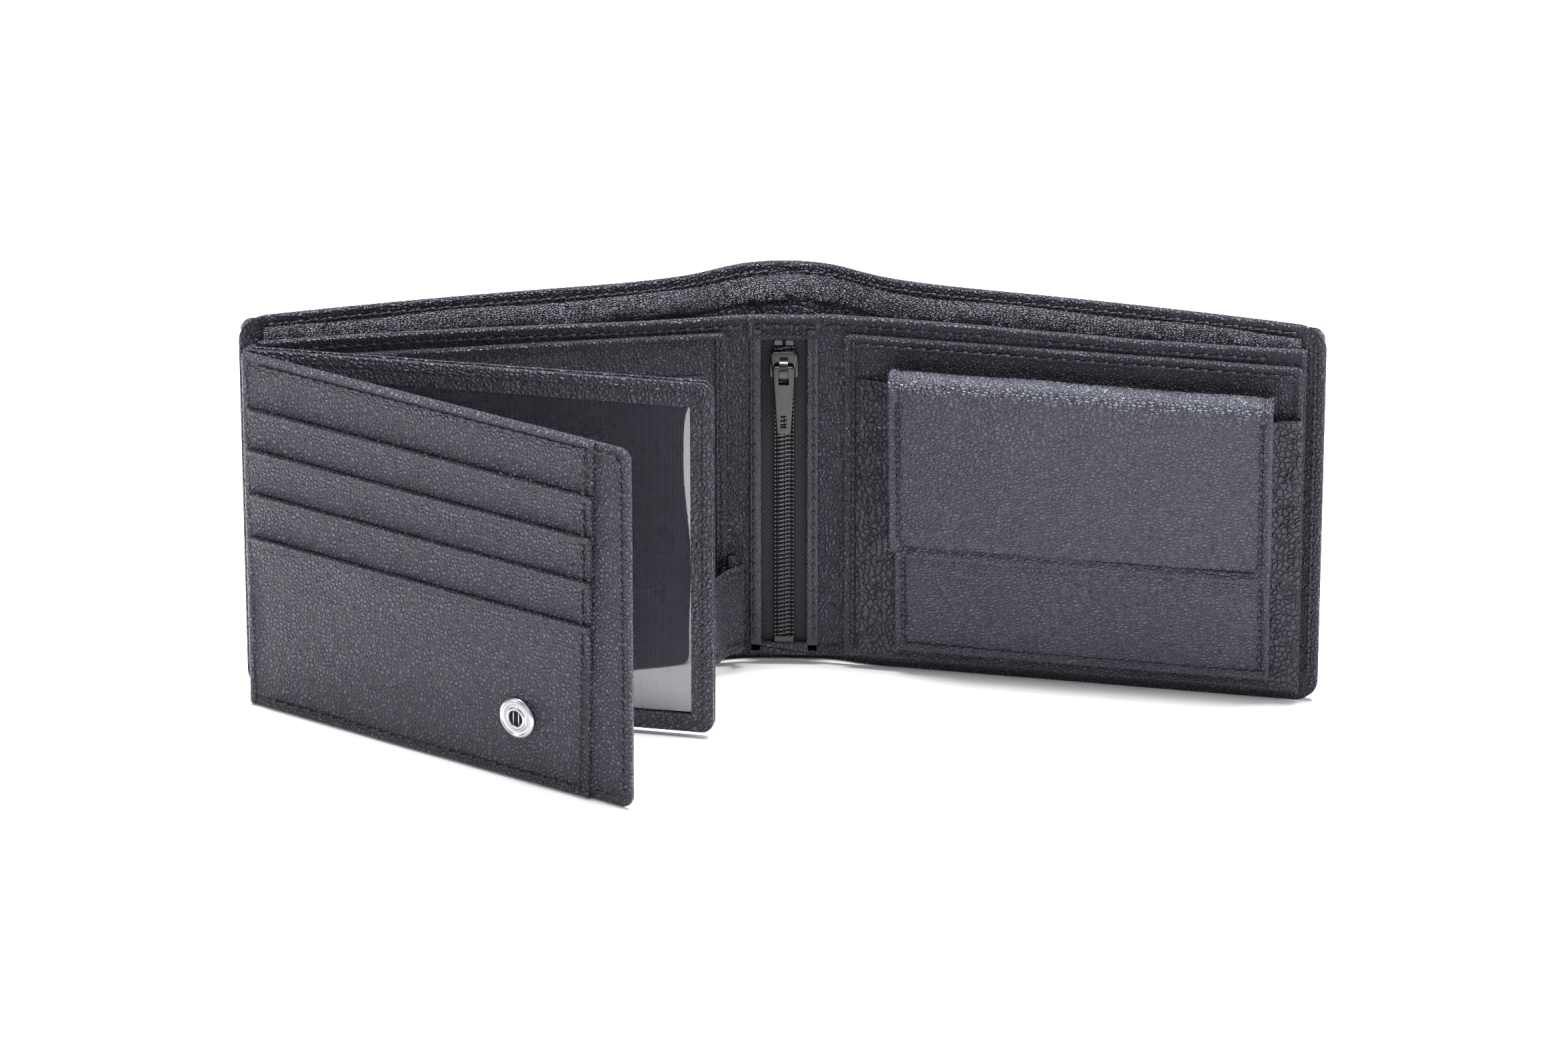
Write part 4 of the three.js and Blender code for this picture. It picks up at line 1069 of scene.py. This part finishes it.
def flap_point(t):
    """Outer face of the flap seen from the side: (y, z) and the way it faces, t mm along it."""
    back_y = -1.6
    front_y = roll_at.y - ROLL_R
    middle, reach = (back_y + front_y) / 2, (back_y - front_y) / 2
    if t < PATH_BACK:
        return back_y, ROLL_Z - PATH_BACK + t, 0.0, 1.0
    if t < PATH_BACK + PATH_ROLL:
        a = math.pi * (t - PATH_BACK) / PATH_ROLL
        return middle + reach * math.cos(a), ROLL_Z + ROLL_R * math.sin(a), math.sin(a), math.cos(a)
    down = t - PATH_BACK - PATH_ROLL
    return front_y + down * FLAP_LEAN, ROLL_Z - down, 0.0, -1.0


def flap(u, v):
    t = PATH_ALL * (1 - v)
    y, z, up, out = flap_point(t)
    left_of = PATH_ALL - t
    inset = 0.0
    if left_of < FLAP_CORNER:
        inset = FLAP_CORNER - math.sqrt(max(0.0, FLAP_CORNER ** 2 - (FLAP_CORNER - left_of) ** 2))
    x = kx0 + inset + (kx1 - kx0 - 2 * inset) * u
    edge = min(x - kx0 - inset * 0.3, kx1 - x - inset * 0.3, left_of)
    swell = rolled(edge, 0.45, 0.35, 2.6) + wrinkle(x, t, 18, 0.5, 6.2) + wrinkle(x, t, 4, 0.1, 8.8)
    belly = 1.1 * math.sin(math.pi * u) ** 0.5 * math.sin(math.pi * min(1, max(0, t - 16) / 46)) ** 0.8
    swell += belly if out < 0 else 0.0
    if out > 0.5:
        swell = 0.0
    return (x, y + out * swell if out < 0 else y, z + up * swell)


cover_flap = sheet("coin_flap_leather", 100, 84, flap, 1.2)
seat(cover_flap, "right", None, FINE)
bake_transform(cover_flap)
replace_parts(cover_flap, "coin_flap", "flap_root")
down_z = [ROLL_Z - 3, 60, 46, kz0 + 5]
face_y = lambda z: roll_at.y - ROLL_R + (ROLL_Z - z) * FLAP_LEAN - 0.02
loop = [(kx0 + 2.6, face_y(z), z) for z in down_z]
loop += [(kx0 + 4.4, face_y(kz0 + 2.7), kz0 + 2.7), (kx1 - 4.4, face_y(kz0 + 2.7), kz0 + 2.7)]
loop += [(kx1 - 2.6, face_y(z), z) for z in reversed(down_z)]
seat(seam_row("coin_flap_stitches", loop, (0, -1, 0)), "right", "coin_flap", THREAD)
for node in ("flap_magnet", "pocket_magnet"):
    paint(node, NICKEL)
print("coin flap made")

# %% [markdown]
# ## Floor, light and camera
# A pale seamless floor, a large soft light overhead, a weak fill from the front and two side
# panels for the edge highlights.

# %% Stage
bpy.ops.mesh.primitive_plane_add(size=6)
floor = bpy.context.object
floor.name = "floor"
paper, tree = new_material("paper")
spot = add(tree, "ShaderNodeTexCoord")
fibre = add(tree, "ShaderNodeTexNoise", {"Scale": 400.0, "Detail": 3.0},
            {"Vector": spot.outputs["Object"]})
tone = add(tree, "ShaderNodeMixRGB", {"Color1": linear("#f1f1f1"), "Color2": linear("#f6f6f6")},
           {"Fac": fibre.outputs["Fac"]})
finish_material(tree, add(tree, "ShaderNodeBsdfPrincipled", {"Roughness": 0.7, "Specular IOR Level": 0.2},
                          {"Base Color": tone.outputs[0]}))
floor.data.materials.append(paper)


def panel_light(name, location, target, size, power, color=(1, 1, 1)):
    data = bpy.data.lights.new(name, "AREA")
    data.shape = "RECTANGLE"
    data.size, data.size_y = size
    data.energy = power
    data.color = color
    lamp = bpy.data.objects.new(name, data)
    bpy.context.collection.objects.link(lamp)
    lamp.location = location
    lamp.rotation_euler = (Vector(target) - Vector(location)).to_track_quat("-Z", "Y").to_euler()
    return lamp


panel_light("overhead", (0.0, 0.15, 0.95), (0, 0.02, 0.05), (0.9, 0.45), 44)
panel_light("front_fill", (-0.25, -1.3, 0.75), (0, 0, 0.04), (1.0, 0.6), 3.2)
panel_light("right_side", (0.95, -0.35, 0.45), (0.05, 0, 0.05), (0.3, 0.5), 3.2)
panel_light("left_side", (-0.95, -0.3, 0.5), (-0.05, 0, 0.05), (0.3, 0.5), 2.6)
world_light = bpy.data.worlds.new("studio")
bpy.context.scene.world = world_light
world_light.use_nodes = True
world_light.node_tree.nodes["Background"].inputs["Color"].default_value = (1, 1, 1, 1)
world_light.node_tree.nodes["Background"].inputs["Strength"].default_value = 0.45

camera_data = bpy.data.cameras.new("camera")
camera_data.lens = 183.7
camera_data.sensor_width = 36
camera = bpy.data.objects.new("camera", camera_data)
bpy.context.collection.objects.link(camera)
aim = Vector((0, 0.03183, 0.0368))
turned_by, tilted_by = math.radians(1.5), math.radians(22)
look = Vector((-math.sin(turned_by) * math.cos(tilted_by), math.cos(turned_by) * math.cos(tilted_by),
               -math.sin(tilted_by)))
camera.location = aim - look * 1.922
camera.rotation_euler = look.to_track_quat("-Z", "Y").to_euler()
bpy.context.scene.camera = camera
bpy.context.scene.view_settings.view_transform = "Standard"
print("stage ready")
